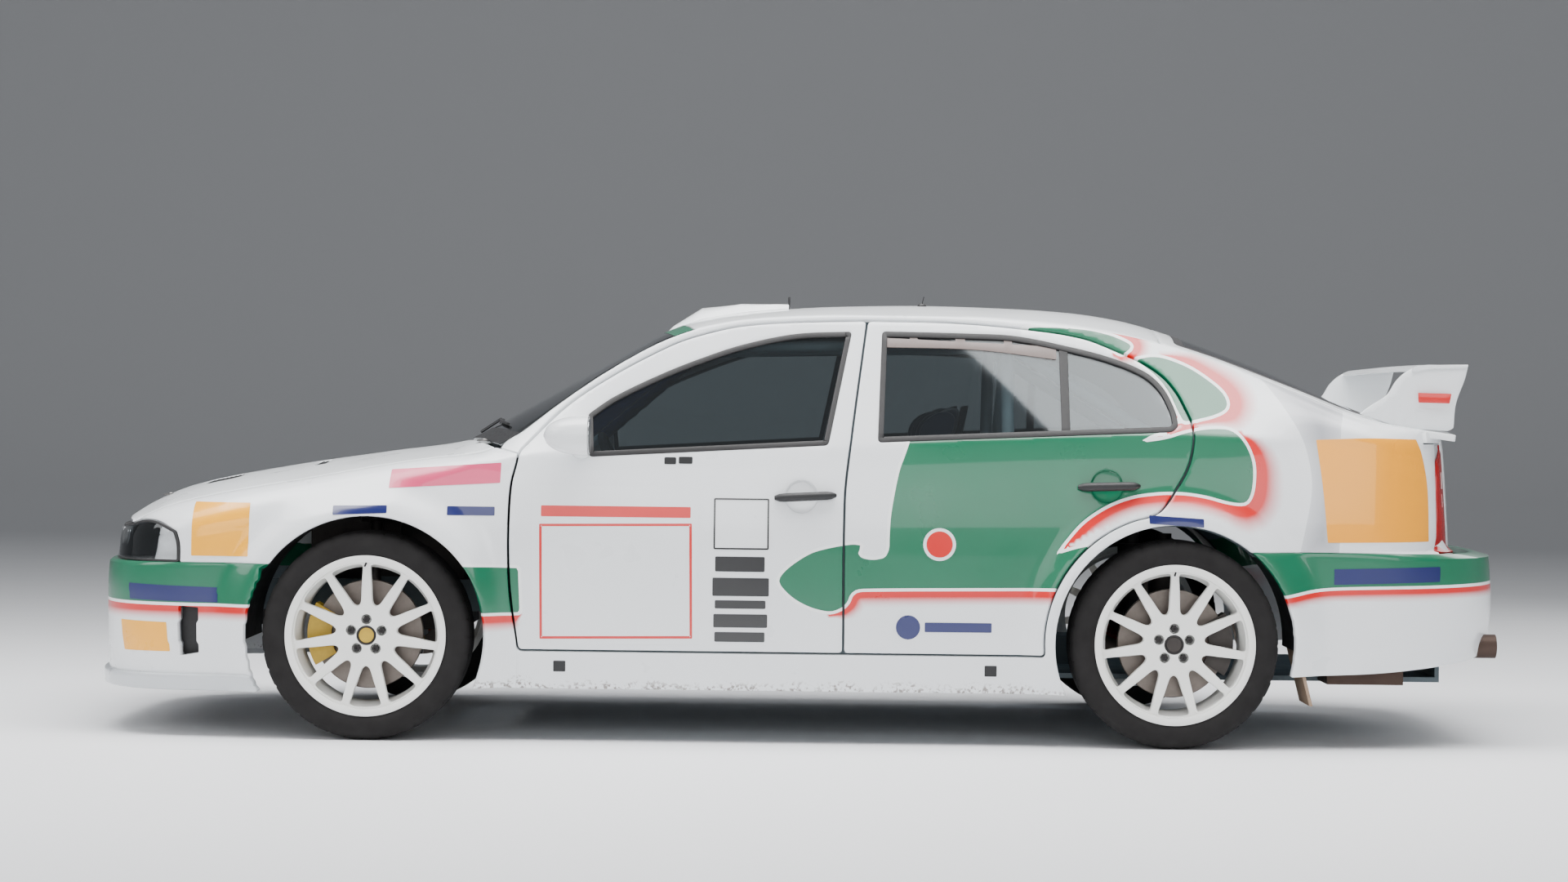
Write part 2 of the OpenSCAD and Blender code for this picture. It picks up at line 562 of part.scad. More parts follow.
module tailgate() color(white) one_mesh() difference() {
    union() {
        plan_view() {
            hatch_plan();
            hatch_plate(0, panel_thickness);
        }
        // rear face down to the bumper
        intersection() {
            end_ring(1, [rear_bumper_top + panel_gap, 700, 800, 900, fz(960), fz(1004)],
                [26, 26, 26, 26, 26, 36]);
            translate([fx(1990), panel_gap - at(RAIL_Y, fx(2075)) + fy(110), 0])
                cube([400, 2 * (at(RAIL_Y, fx(2075)) - fy(110) - panel_gap), 2000]);
        }
        // deck corners over the lights
        translate([fx(2000), seat_fit * 5 - at(RAIL_Y, fx(2075)) + fy(110), fz(967)])
            cube([fx(2060) - fx(2000), 2 * (at(RAIL_Y, fx(2075)) - fy(110) - seat_fit * 5), 20]);
    }
    linear_extrude(3000) rear_window_plan();
}
module rear_window_plan() polygon(concat(
    [for (u = [-1 : 0.25 : 1]) [fx(1215) - 18 * u * u, u * fy(545)]],
    [for (u = [1 : -0.25 : -1]) [fx(1790) + 20 - 20 * u * u, u * fy(575)]]));
module rear_window() color("#3a4347", 0.6) one_mesh() plan_view() {
    offset(delta = -seat_fit) rear_window_plan();
    top_plate(fx(1180), fx(1830), 8, 1, 1 + glass_thickness);
}
wing_half = 665;
wing_plate = 14;
module wing_end_outline() polygon([[fx(1770), fz(1052)], [fx(1800), fz(1075)], [fx(1855), fz(1112)],
    [fx(1885), fz(1158)], [fx(1925), fz(1192)], [fx(1975), fz(1206)], [fx(2112), fz(1211)], [fx(2101), fz(1165)],
    [fx(2074), fz(1087)], [fx(2067), fz(1010)], [fx(2050), fz(1000)], [fx(1900), fz(1010)]]);
module rear_wing() color(white) {
    for (side = [-1, 1]) difference() {
        translate([0, side * fy(wing_half) + wing_plate / 2, 0]) rotate([90, 0, 0]) linear_extrude(wing_plate)
            wing_end_outline();
        wing_seat();
    }
    // blade between the end plates, and the small lip under it
    translate([0, fy(wing_half), 0]) rotate([90, 0, 0]) linear_extrude(2 * fy(wing_half)) polygon([
        [fx(1930), fz(1190)], [fx(1935), fz(1202)], [fx(1960), fz(1207)], [fx(2105), fz(1209)],
        [fx(2108), fz(1203)], [fx(2020), fz(1190)]]);
}
module wing_seat() hatch_plate(-seat_fit, 300);

// ---------- wheels ----------
hub_radius = 88;
disc_thickness = 28;
spindle_radius = 25;
bearing_gap = 0.4;
rim_width = tyre_width - 10;
rim_radius = rim_diameter / 2;
rim_seat = rim_radius - 18;      // where the tyre sits
bolt_radius = 7;
// A rim with its face towards +Y, centred on the wheel's middle plane
module rim_solid() difference() {
    union() {
        rotate([90, 0, 0]) translate([0, 0, -rim_width / 2]) rotate_extrude($fn = 72) polygon([
            [rim_seat - 8, 0], [rim_seat - 8, 20], [rim_seat - 22, 40], [rim_seat - 22, rim_width - 40],
            [rim_seat - 8, rim_width - 20], [rim_seat - 8, rim_width], [rim_radius, rim_width],
            [rim_radius, rim_width - 12], [rim_seat, rim_width - 16], [rim_seat, rim_width - 30],
            [rim_seat - 12, rim_width - 46], [rim_seat - 12, 46], [rim_seat, 30], [rim_seat, 16],
            [rim_radius, 12], [rim_radius, 0]]);
        translate([0, hub_face, 0]) rotate([90, 0, 0]) cylinder(r = hub_radius, h = 40, $fn = 64);
        for (i = [0 : spoke_count - 1]) rotate([0, i * 360 / spoke_count, 0])
            translate([0, hub_face - 4, 0]) rotate([90, 0, 0]) linear_extrude(24)
                polygon([[-24, hub_radius - 14], [24, hub_radius - 14], [13, rim_seat - 16],
                    [-13, rim_seat - 16]]);
        // brake disc on its bell
        translate([0, hub_face - 39, 0]) rotate([90, 0, 0]) cylinder(r = 80, h = 40, $fn = 64);
        translate([0, hub_face - 70, 0]) rotate([90, 0, 0]) cylinder(d = disc_diameter, h = disc_thickness,
            $fn = 72);
    }
    translate([0, hub_face + 1, 0]) rotate([90, 0, 0])
        cylinder(r = spindle_radius + bearing_gap, h = 200, $fn = 48);
    for (i = [0 : 4]) rotate([0, i * 72, 0]) translate([0, hub_face + 1, bolt_circle / 2]) rotate([90, 0, 0])
        cylinder(r = bolt_radius, h = 30, $fn = 24);
}
hub_face = 75;            // the hub's outer face, from the wheel's middle plane
module tyre_solid() {
    shoulder = 22;
    w = tyre_width / 2;
    r = tyre_radius;
    rotate([90, 0, 0]) rotate_extrude($fn = 96) polygon([
        [rim_seat + 0.3, rim_width / 2 - 16.3], [rim_radius + 1, rim_width / 2 - 12.3],
        [rim_radius + 6, rim_width / 2], [rim_radius + 24, w], [r - shoulder - 12, w], [r - 8, w - 9],
        [r, w - shoulder], [r, shoulder - w], [r - 8, 9 - w], [r - shoulder - 12, -w], [rim_radius + 24, -w],
        [rim_radius + 6, -rim_width / 2], [rim_radius + 1, 12.3 - rim_width / 2],
        [rim_seat + 0.3, 16.3 - rim_width / 2], [rim_seat + 0.3, 29 - rim_width / 2],
        [rim_seat + 3, 40 - rim_width / 2], [rim_seat + 3, rim_width / 2 - 40],
        [rim_seat + 0.3, rim_width / 2 - 29]]);
}
// Puts a wheel part drawn with its face towards +Y at an axle; side is -1 on the left
module at_wheel(axle, side) translate([axle, side * half_track, tyre_radius])
    rotate([0, 0, side < 0 ? 180 : 0]) children();
module rim(axle, side) color("ghostwhite") at_wheel(axle, side) rim_solid();
module tyre(axle, side) color(dark) at_wheel(axle, side) tyre_solid();

// ---------- knuckles and suspension ----------
ball_y = half_track - 76;
top_mount_z = fz(790);
king_height = top_mount_z - ball_height;
king_angle = atan(king_lean / king_height);
ball_radius = 18;
spring_radius = 50;
strut_foot = 255;         // along the steering axis from the ball joint
// Draws along the steering axis, from the ball joint up
module along_king() translate([front_axle, ball_y, ball_height]) rotate([king_angle, 0, 0]) children();
caliper_arc = 62;
// Caliper over the disc; way -1 puts it in front of the axle
module caliper(way) translate([0, hub_face - 84, 0]) rotate([90, 0, 0])
    rotate([0, 0, way < 0 ? 180 - caliper_arc / 2 : -caliper_arc / 2]) rotate_extrude(angle = caliper_arc, $fn = 64)
        polygon([[115, -36], [115, -21], [disc_diameter / 2 + 6, -21], [disc_diameter / 2 + 6, 21], [115, 21],
            [115, 40], [disc_diameter / 2 + 20, 40], [disc_diameter / 2 + 20, -36]]);
spindle_end = hub_face - 42;
module hub_carrier(way) {
    // spindle in the wheel's bearing, carrier plate and caliper with its ear
    translate([0, hub_face - 2, 0]) rotate([90, 0, 0]) cylinder(r = spindle_radius, h = 160, $fn = 48);
    translate([0, hub_face - 112, 0]) rotate([90, 0, 0]) cylinder(r = 62, h = 24, $fn = 48);
    caliper(way);
    translate([way < 0 ? -150 : 40, hub_face - 136, -26]) cube([110, 24, 52]);
    translate([way < 0 ? -150 : 116, hub_face - 136, -26]) cube([34, 20, 52]);
}
module knuckle() color("dimgray") {
    translate([front_axle, half_track, tyre_radius]) hub_carrier(-1);
    along_king() translate([0, 0, ball_radius + seat_fit])
        cylinder(r = 22, h = strut_foot - ball_radius - 2 * seat_fit);
}
module front_suspension() color(dark) both_sides() {
    // lower arm with its ball, strut, spring seat and top mount
    translate([front_axle, ball_y, ball_height]) sphere(ball_radius);
    translate([front_axle - 20, rail_half - 40, ball_height - 14]) cube([40, ball_y - rail_half + 26, 27]);
    translate([front_axle - 45, rail_half - 60, ball_height - 14]) cube([90, 50, 69 - seat_fit]);
    along_king() {
        translate([0, 0, strut_foot]) cylinder(r = 20, h = king_height / cos(king_angle) - strut_foot);
        translate([0, 0, 486]) cylinder(r = spring_radius, h = 100);
    }
    translate([front_axle - 60, ball_y - king_lean - 60, top_mount_z - 22]) cube([120, 110, 20]);
    translate([front_axle - 60, rail_half - 34, 490 + seat_fit]) cube([120, 40, top_mount_z - 22 - 490 + 10]);
    translate([front_axle - 60, rail_half - 34, top_mount_z - 22]) cube([120, 120, 12]);
}
module rear_suspension() color(dark) both_sides() {
    translate([rear_axle, half_track, tyre_radius]) hub_carrier(1);
    translate([rear_axle - 22, rail_half + seat_fit, 212]) cube([44, half_track + hub_face - 118 - rail_half, 30]);
    translate([rear_axle - 22, half_track + hub_face - 136, 212]) cube([44, 24, 100]);
    translate([rear_axle, rail_half + 60, 240]) cylinder(r = 26, h = 420);
    translate([rear_axle, rail_half + 60, 360]) cylinder(r = 48, h = 230);
}
liner_inner = rail_half + 6 + seat_fit;
liner_thickness = 5;
// Black inner arches, open below, between two distances from the middle
module liner(axle, inner, outer) intersection() {
    translate([axle, outer, tyre_radius]) rotate([90, 0, 0]) difference() {
        cylinder(r = liner_radius + liner_thickness, h = outer - inner, $fn = 72);
        translate([0, 0, -1]) cylinder(r = liner_radius, h = outer - inner + 2, $fn = 72);
    }
    translate([axle - 600, 0, tyre_radius - 20]) cube([1200, 1200, 800]);
}
liner_radius = arch_radius + 12;
front_liner_outer = at(PLAN, front_axle) - 38;
flap_outer = at(PLAN, rear_axle) - sill_tuck - frame_thickness + 12;
module arch_liners() color("#141516") one_mesh() both_sides() {
    difference() {
        liner(front_axle, liner_inner, front_liner_outer);
        along_king() cylinder(r = spring_radius + 8, h = 900);
    }
    difference() {
        liner(rear_axle, rail_half + 62, half_width);
        frame_plate(-60, frame_thickness + seat_fit);
    }
}

// ---------- engine, exhaust, flaps ----------
module engine_block() color("#55595c") translate([front_axle - 250, -290, 310 + seat_fit]) cube([500, 580, 480]);
tailpipe_y = -fy(575);
tailpipe_z = 315;
tailpipe_end = fx(2222);
silencer_x = fx(1670);
module exhaust() color("#7a5548") difference() {
    union() {
        // silencer beside the boot floor, with the pipe out of it
        translate([silencer_x, -rail_half - 60 - seat_fit - 190, floor_height + 4]) cube([240, 190, 160]);
        translate([silencer_x + 200, tailpipe_y, tailpipe_z]) rotate([0, 90, 0])
            cylinder(d = tailpipe_diameter, h = tailpipe_end - silencer_x - 200, $fn = 64);
    }
    translate([tailpipe_end - tailpipe_length, tailpipe_y, tailpipe_z]) rotate([0, 90, 0])
        cylinder(d = tailpipe_diameter - 6, h = tailpipe_length + 1, $fn = 64);
}
flap_x = rear_axle + liner_radius + liner_thickness + seat_fit;
module mudflaps() color("#a98f7a") both_sides()
    translate([flap_x, flap_outer, 0]) rotate([90, 0, 0]) linear_extrude(190)
        polygon([[0, 345], [10, 345], [10, 300], [52, 134], [42, 134], [0, 300]]);

// ---------- cabin ----------
column_foot = firewall_x + 210;
column_height = fz(740);
column_angle = 68;
column_length = 165;
column_pin = 12;          // radius of the shaft that the steering wheel turns on
module on_column() translate([column_foot, -seat_offset, column_height]) rotate([0, column_angle, 0]) children();
module dashboard() color(dark) {
    translate([firewall_x + 14 + seat_fit, -fy(585), fz(640)]) cube([210, fy(1170), fz(840) - fz(640)]);
    translate([firewall_x + 14 + seat_fit, -fy(560), fz(838)]) cube([150, fy(1120), 40]);
    on_column() translate([0, 0, -60]) cylinder(d = 50, h = column_length + 60);
    on_column() cylinder(r = column_pin, h = column_length + 45);
}
module steering_wheel() color("#1d1f20") on_column() translate([0, 0, column_length + 6]) difference() {
    union() {
        cylinder(d = 56, h = 50);
        translate([0, 0, 34]) rotate_extrude($fn = 64) translate([steering_wheel_diameter / 2 - 14, 0])
            circle(14, $fn = 24);
        translate([0, 0, 28]) for (a = [0, 120, 240]) rotate([0, 0, a + 90]) translate([20, -14, 0])
            cube([steering_wheel_diameter / 2 - 34, 28, 8]);
    }
    translate([0, 0, -1]) cylinder(r = column_pin + bearing_gap, h = 41);
}
seat_x = 60;
seat_half = 245;
module seat() translate([fx(seat_x), seat_offset, floor_top + seat_fit]) difference() {
    union() {
        translate([-60, -seat_half, 0]) cube([430, 2 * seat_half, 60]);
        translate([-90, -seat_half, 59]) cube([500, 2 * seat_half, 190]);
        translate([300, -seat_half, 59]) rotate([0, 12, 0]) cube([100, 2 * seat_half, 800]);
    }
    // the hollow between the bolsters
    translate([-100, -190, 150]) cube([410, 380, 200]);
    translate([300, -190, 150]) rotate([0, 12, 0]) translate([-60, 0, 0]) cube([110, 380, 900]);
}
module seats() color("#1b2433") both_sides() seat();
tube_overlap = 0.3;       // share of its diameter that a tube runs on past a joint
module tube(a, b) {
    d = b - a;
    over = cage_tube * tube_overlap;
    translate(a) rotate([0, acos(d[2] / norm(d)), atan2(d[1], d[0])]) translate([0, 0, -over])
        cylinder(d = cage_tube, h = norm(d) + 2 * over, $fn = 10);
}
module tube_run(points) for (i = [0 : len(points) - 2]) tube(points[i], points[i + 1]);
module roll_cage() color("#c9d3d6") {
    foot = floor_top + cage_tube * tube_overlap + 1.2;
    r = fz(1268);
    waist = fz(905);
    hoop_x = fx(660);
    front_x = fx(-360);
    both_sides() {
        tube_run([[hoop_x, fy(690), foot], [hoop_x, fy(665), waist], [hoop_x, fy(500), r], [front_x, fy(515), r - 30],
            [fx(-780), fy(625), fz(880)], [fx(-800), fy(650), foot]]);
        tube_run([[hoop_x, fy(500), r], [fx(1480), fy(440), fz(760)], [fx(1490), fy(430), foot]]);
        tube_run([[fx(-790), fy(640), fz(560)], [hoop_x, fy(680), 330]]);
        tube_run([[fx(-790), fy(640), 330], [hoop_x, fy(680), fz(600)]]);
    }
    tube([hoop_x, -fy(500), r], [hoop_x, fy(500), r]);
    tube([front_x, -fy(515), r - 30], [front_x, fy(515), r - 30]);
    tube([hoop_x, -fy(500), r], [hoop_x, fy(680), 420]);
}

floor_pan();
on_left() side_frame();  // left_side_frame
side_frame();  // right_side_frame
roof_panel();
roof_vent();
windscreen();
front_wings();
front_bumper();
rear_bumper();
grille();
headlights();
tail_lights();
dashboard();
roll_cage();
seats();
engine_block();
front_suspension();
rear_suspension();
arch_liners();
exhaust();
mudflaps();
bonnet();
tailgate();
rear_window();
rear_wing();
on_left() front_door();  // left_front_door
on_left() front_glass();  // left_front_glass
on_left() mirror_shell();  // left_mirror
front_door();  // right_front_door
front_glass();  // right_front_glass
mirror_shell();  // right_mirror
on_left() rear_door();  // left_rear_door
on_left() rear_glass();  // left_rear_glass
rear_door();  // right_rear_door
rear_glass();  // right_rear_glass
on_left() knuckle();  // left_knuckle
knuckle();  // right_knuckle
rim(front_axle, -1);  // left_front_rim
tyre(front_axle, -1);  // left_front_tyre
rim(front_axle, 1);  // right_front_rim
tyre(front_axle, 1);  // right_front_tyre
rim(rear_axle, -1);  // left_rear_rim
tyre(rear_axle, -1);  // left_rear_tyre
rim(rear_axle, 1);  // right_rear_rim
tyre(rear_axle, 1);  // right_rear_tyre
steering_wheel();
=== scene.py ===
# Looks of a four-door liftback rally car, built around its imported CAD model.
# Shapes are worked out in millimetres in the row frame (front towards -X, up +Z) and
# turned into metres when a mesh is made. Left pieces mirror the right ones.

import math

import bpy
import bmesh
import numpy as np
from mathutils import Matrix, Vector
from mathutils.geometry import delaunay_2d_cdt


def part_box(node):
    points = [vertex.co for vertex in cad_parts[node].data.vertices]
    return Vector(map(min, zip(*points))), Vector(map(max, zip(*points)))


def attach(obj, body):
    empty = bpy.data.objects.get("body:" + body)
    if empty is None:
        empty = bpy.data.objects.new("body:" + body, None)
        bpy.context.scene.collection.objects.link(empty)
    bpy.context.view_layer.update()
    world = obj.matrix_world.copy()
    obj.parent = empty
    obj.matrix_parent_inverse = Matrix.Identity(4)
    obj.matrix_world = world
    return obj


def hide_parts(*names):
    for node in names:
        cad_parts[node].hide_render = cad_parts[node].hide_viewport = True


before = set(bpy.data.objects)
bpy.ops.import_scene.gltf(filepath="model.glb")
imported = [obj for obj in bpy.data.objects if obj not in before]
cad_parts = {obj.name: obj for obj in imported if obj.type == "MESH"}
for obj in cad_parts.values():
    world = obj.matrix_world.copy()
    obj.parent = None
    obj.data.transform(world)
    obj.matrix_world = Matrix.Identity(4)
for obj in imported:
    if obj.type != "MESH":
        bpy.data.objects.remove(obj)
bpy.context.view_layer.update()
MM = 0.001

# ---------- sizes taken from the frame, in millimetres ----------


def span(node):
    lo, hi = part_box(node)
    return np.array(lo) / MM, np.array(hi) / MM


def centre(node):
    lo, hi = span(node)
    return (lo + hi) / 2


FRONT_AXLE = centre("left_front_tyre")[0]
REAR_AXLE = centre("left_rear_tyre")[0]
HALF_TRACK = centre("right_rear_tyre")[1]
TYRE_RADIUS = (span("left_rear_tyre")[1][2] - span("left_rear_tyre")[0][2]) / 2
ARCH_GAP = 48
ARCH = TYRE_RADIUS + ARCH_GAP
DOOR_ARC = ARCH + 36
NOSE_START = -1650
TAIL_START = 1560
WIDEST = 600
TUCK = 18
FLARE_BAND = 125
DOOR_FRONT = -907
SQUARENESS = 3.6
GAP = 3.5                 # half the gap round doors and lids
BUMPER_TOP = 545
REAR_BUMPER_TOP = 616
LIGHT_FRONT = 2012

# ---------- smooth curves ----------


class Curve:
    """A smooth curve through stations."""

    def __init__(self, *points):
        self.x = np.array([p[0] for p in points], float)
        self.v = np.array([p[1] for p in points], float)
        d = np.diff(self.v) / np.diff(self.x)
        a, b = d[:-1], d[1:]
        both = np.where(a * b > 0, a + b, 1)
        inner = np.where(a * b > 0, 2 * a * b / both, 0)
        self.slope = np.concatenate([d[:1], inner, d[-1:]])

    def __call__(self, x):
        x = np.asarray(x, float)
        i = np.clip(np.searchsorted(self.x, x, side="right") - 1, 0, len(self.x) - 2)
        h = self.x[i + 1] - self.x[i]
        u = np.clip((x - self.x[i]) / h, 0, 1)
        a, b = self.v[i], self.v[i + 1]
        bend = (1 - u) * self.slope[i] - u * self.slope[i + 1]
        return a + (b - a) * u * u * (3 - 2 * u) + h * u * (1 - u) * bend


def ease(u):
    v = np.clip(u, 0, 1)
    return v * v * (3 - 2 * v)


TOP = Curve((-2200, 655), (-2165, 690), (-2110, 728), (-1990, 777), (-1680, 841), (-1360, 891),
            (-1110, 928), (-1080, 940), (-937, 1022), (-625, 1196), (-420, 1308), (-330, 1340),
            (-150, 1368), (130, 1388), (393, 1394), (687, 1388), (882, 1377), (1040, 1355),
            (1180, 1318), (1478, 1212), (1794, 1075), (1870, 1045), (1960, 1030), (2075, 1010))
RAIL_Z = Curve((-2200, 630), (-2100, 672), (-2000, 716), (-1860, 753), (-1575, 806), (-1180, 876),
               (-1010, 897), (-940, 925), (-740, 1070), (-593, 1170), (-415, 1266), (-300, 1304),
               (-150, 1330), (150, 1345), (500, 1344), (800, 1326), (1040, 1290), (1266, 1232),
               (1562, 1120), (1780, 1035), (1900, 1010), (2075, 985))
RAIL_Y = Curve((-2200, 600), (-2000, 664), (-1575, 700), (-1010, 722), (-940, 726), (-740, 700),
               (-593, 678), (-415, 650), (-150, 622), (200, 606), (800, 600), (1266, 606),
               (1562, 640), (1780, 690), (2075, 700))
PLAN = Curve((-1650, 828), (-1345, 838), (-900, 846), (0, 850), (700, 850), (1170, 846), (1650, 826))
WAIST_Z = Curve((-2200, 600), (-1900, 640), (-1345, 720), (-1010, 850), (-880, 890), (155, 930),
                (1223, 975), (1600, 960), (1900, 930), (2080, 900))
WAIST_IN = Curve((-2200, 0), (-1345, 6), (-1010, 28), (-880, 40), (155, 45), (1223, 50), (1700, 35),
                 (2080, 12))
ROUND = Curve((-1010, 1), (-880, 0), (1250, 0), (1700, 1))
NOSE = Curve((140, -2238), (300, -2244), (450, -2246), (544, -2240), (546, -2214), (620, -2204),
             (690, -2165), (730, -2105))
TAIL = Curve((220, 2170), (300, 2235), (450, 2255.5), (610, 2245), (622, 2112), (700, 2106),
             (960, 2085), (1010, 2070))


def corner(u):
    return np.maximum(0, 1 - np.clip(u, 0, 1) ** SQUARENESS) ** (1 / SQUARENESS)


def half_plan(x, z):
    nose = PLAN(NOSE_START) * corner((NOSE_START - x) / (NOSE_START - NOSE(z)))
    tail = PLAN(TAIL_START) * corner((x - TAIL_START) / (TAIL(z) - TAIL_START))
    return np.where(x < NOSE_START, nose, np.where(x > TAIL_START, tail, PLAN(x)))


def flare(x, z, axle, size):
    return size * ease(1 - (np.hypot(x - axle, z - TYRE_RADIUS) - ARCH) / FLARE_BAND)


def flares(x, z):
    front = flare(x, z, FRONT_AXLE, 885 - PLAN(FRONT_AXLE)) * ease((DOOR_FRONT - x) / 110)
    return front + flare(x, z, REAR_AXLE, 885 - PLAN(REAR_AXLE))


def side_y(x, z):
    """Half width of the body side."""
    x, z = np.broadcast_arrays(np.asarray(x, float), np.asarray(z, float))
    wide, waist = half_plan(x, z), WAIST_Z(x)
    waist_y = wide - WAIST_IN(x)
    rail, rail_y = RAIL_Z(x), np.minimum(RAIL_Y(x), wide)
    r = ease(1 - ROUND(x))
    up = np.clip((z - waist) / np.maximum(rail - waist, 1), 0, 1)
    low = wide - TUCK * (np.maximum(WIDEST - z, 0) / 400) ** 2 + flares(x, z)
    mid = wide - (wide - waist_y) * ((z - WIDEST) / np.maximum(waist - WIDEST, 1)) ** 2 + flares(x, z)
    high = waist_y - (waist_y - rail_y) * (r * up + (1 - r) * (1 - np.sqrt(1 - up * up))) \
        + flares(x, z) * (1 - up)
    return np.where(z < WIDEST, low, np.where(z < waist, mid, high))


def top_z(x, y):
    c, r = TOP(x), RAIL_Z(x)
    return r + (c - r) * (1 - np.minimum(1, np.abs(y) / RAIL_Y(x)) ** 2.3)


def side(p):
    """Domain (x, z) to a point of the right-hand side."""
    return np.column_stack([p[:, 0], side_y(p[:, 0], p[:, 1]), p[:, 1]])


def top(p):
    """Domain (x, y) to a point of the top."""
    return np.column_stack([p[:, 0], p[:, 1], top_z(p[:, 0], p[:, 1])])


class Ring:
    """Skin of a bumper: the domain is (share of the way from the middle to the arch, z)."""

    def __init__(self, way, low, high, grow=0, arch=True, end=None):
        self.z = np.linspace(low, high, 41)
        start = NOSE_START if way < 0 else TAIL_START
        table = NOSE if way < 0 else TAIL
        axle = FRONT_AXLE if way < 0 else REAR_AXLE
        self.f = np.linspace(0, 1, 161)
        self.x, self.y = [], []
        for z in self.z:
            reach = abs(float(table(z)) - start) + grow
            a = np.linspace(0, math.pi / 2, 400)
            x = start + way * reach * np.cos(a) ** (2 / SQUARENESS)
            y = (float(PLAN(start)) + grow - TUCK * (max(0, WIDEST - z) / 400) ** 2) \
                * np.sin(a) ** (2 / SQUARENESS) + flares(x, z)
            lead = start - way * np.linspace(2, 200, 60)
            x = np.concatenate([x, lead])
            y = np.concatenate([y, side_y(lead, z) + grow])
            limit = axle - way * -math.sqrt(max(ARCH ** 2 - (z - TYRE_RADIUS) ** 2, 0)) if arch else end
            keep = way * x >= way * limit
            x, y = x[keep], y[keep]
            s = np.concatenate([[0], np.cumsum(np.hypot(np.diff(x), np.diff(y)))])
            self.length = s[-1]
            self.x.append(np.interp(self.f * s[-1], s, x))
            self.y.append(np.interp(self.f * s[-1], s, y))
        self.x, self.y = np.array(self.x), np.array(self.y)

    def pick(self, grid, f, z):
        i = np.clip((z - self.z[0]) / (self.z[-1] - self.z[0]) * 40, 0, 39.999)
        j = np.clip(f * 160, 0, 159.999)
        a, b = i.astype(int), j.astype(int)
        u, v = i - a, j - b
        return (grid[a, b] * (1 - u) + grid[a + 1, b] * u) * (1 - v) \
            + (grid[a, b + 1] * (1 - u) + grid[a + 1, b + 1] * u) * v

    def __call__(self, p):
        f, z = p[:, 0] / 1000, p[:, 1]
        x = self.pick(self.x, np.abs(f), z)
        y = self.pick(self.y, np.abs(f), z)
        return np.column_stack([x, y * np.sign(f), z])

    def place(self, z, x=None, y=None):
        """Domain abscissa of the skin at a height and an x or a y."""
        row = int(round((z - self.z[0]) / (self.z[-1] - self.z[0]) * 40))
        if y is not None:
            return 1000 * float(np.interp(y, self.y[row], self.f))
        order = np.argsort(self.x[row])
        return 1000 * float(np.interp(x, self.x[row][order], self.f[order]))


# ---------- outlines in a plane ----------


def arc(cx, cy, r, start, end, steps):
    a = np.radians(np.linspace(start, end, steps + 1))
    return [(cx + r * math.cos(t), cy + r * math.sin(t)) for t in a]


def stretch(points, step):
    """Dense smooth line through points."""
    p = np.array(points, float)
    if len(p) == 2:
        n = max(1, int(np.linalg.norm((p[1] - p[0])[:2]) / step))
        return p[0] + (p[1] - p[0]) * np.linspace(0, 1, n + 1)[:, None]
    q = np.vstack([2 * p[0] - p[1], p, 2 * p[-1] - p[-2]])
    out = []
    for i in range(1, len(q) - 2):
        n = max(1, int(np.linalg.norm((q[i + 1] - q[i])[:2]) / step))
        chord = np.linalg.norm((q[i + 1] - q[i])[:2])
        before = np.linalg.norm((q[i] - q[i - 1])[:2])
        after = np.linalg.norm((q[i + 2] - q[i + 1])[:2])
        m0 = (q[i + 1] - q[i - 1]) * chord / (chord + before)
        m1 = (q[i + 2] - q[i]) * chord / (chord + after)
        t = np.linspace(0, 1, n + 1)[:-1, None]
        out.append((2 * t ** 3 - 3 * t ** 2 + 1) * q[i] + (t ** 3 - 2 * t ** 2 + t) * m0
                   + (3 * t ** 2 - 2 * t ** 3) * q[i + 1] + (t ** 3 - t ** 2) * m1)
    return np.vstack(out + [p[-1:]])


def loop(points, radius=8, sharp=30, step=9):
    """Closed outline through points: smooth where it bends gently, rounded at its corners."""
    p = np.array(points, float)
    d = np.roll(p, -1, 0)[:, :2] - p[:, :2]
    heading = np.arctan2(d[:, 1], d[:, 0])
    turn = np.abs((heading - np.roll(heading, 1) + math.pi) % (2 * math.pi) - math.pi)
    corners = [i for i in range(len(p)) if turn[i] > math.radians(sharp)]
    if not corners:
        corners = [0]
    parts = []
    for k, i in enumerate(corners):
        j = corners[(k + 1) % len(corners)]
        count = (j - i) % len(p) or len(p)
        line = stretch([p[(i + m) % len(p)] for m in range(count + 1)], min(step, 4))
        s = np.concatenate([[0], np.cumsum(np.linalg.norm(np.diff(line[:, :2], axis=0), axis=1))])
        cut = min(radius, 0.3 * s[-1])
        n = max(1, int((s[-1] - 2 * cut) / step))
        at = np.linspace(cut, s[-1] - cut, n + 1)
        parts.append(np.column_stack([np.interp(at, s, line[:, c]) for c in range(line.shape[1])]))
    out = []
    for k, part in enumerate(parts):
        out.append(part)
        a, c, b = part[-1], p[corners[(k + 1) % len(corners)]], parts[(k + 1) % len(parts)][0]
        n = max(2, min(6, int(radius / 2.5)))
        t = np.linspace(0, 1, n + 2)[1:-1, None]
        out.append(a * (1 - t) ** 2 + 2 * c * t * (1 - t) + b * t * t)
    return np.vstack(out)


def nearest(points, line):
    """Distance of each point to a closed line, and the line's third column there."""
    a = line[:, :2]
    d = np.roll(a, -1, 0) - a
    length = (d ** 2).sum(1) + 1e-9
    extra = line[:, 2] if line.shape[1] > 2 else np.zeros(len(line))
    far, value = [], []
    for start in range(0, len(points), 1500):
        p = points[start:start + 1500, None, :]
        t = np.clip(((p - a) * d).sum(2) / length, 0, 1)
        gap = ((p - a - t[..., None] * d) ** 2).sum(2)
        best = gap.argmin(1)
        rows = np.arange(len(best))
        far.append(np.sqrt(gap[rows, best]))
        u = t[rows, best]
        value.append(extra[best] * (1 - u) + np.roll(extra, -1)[best] * u)
    return np.concatenate(far), np.concatenate(value)


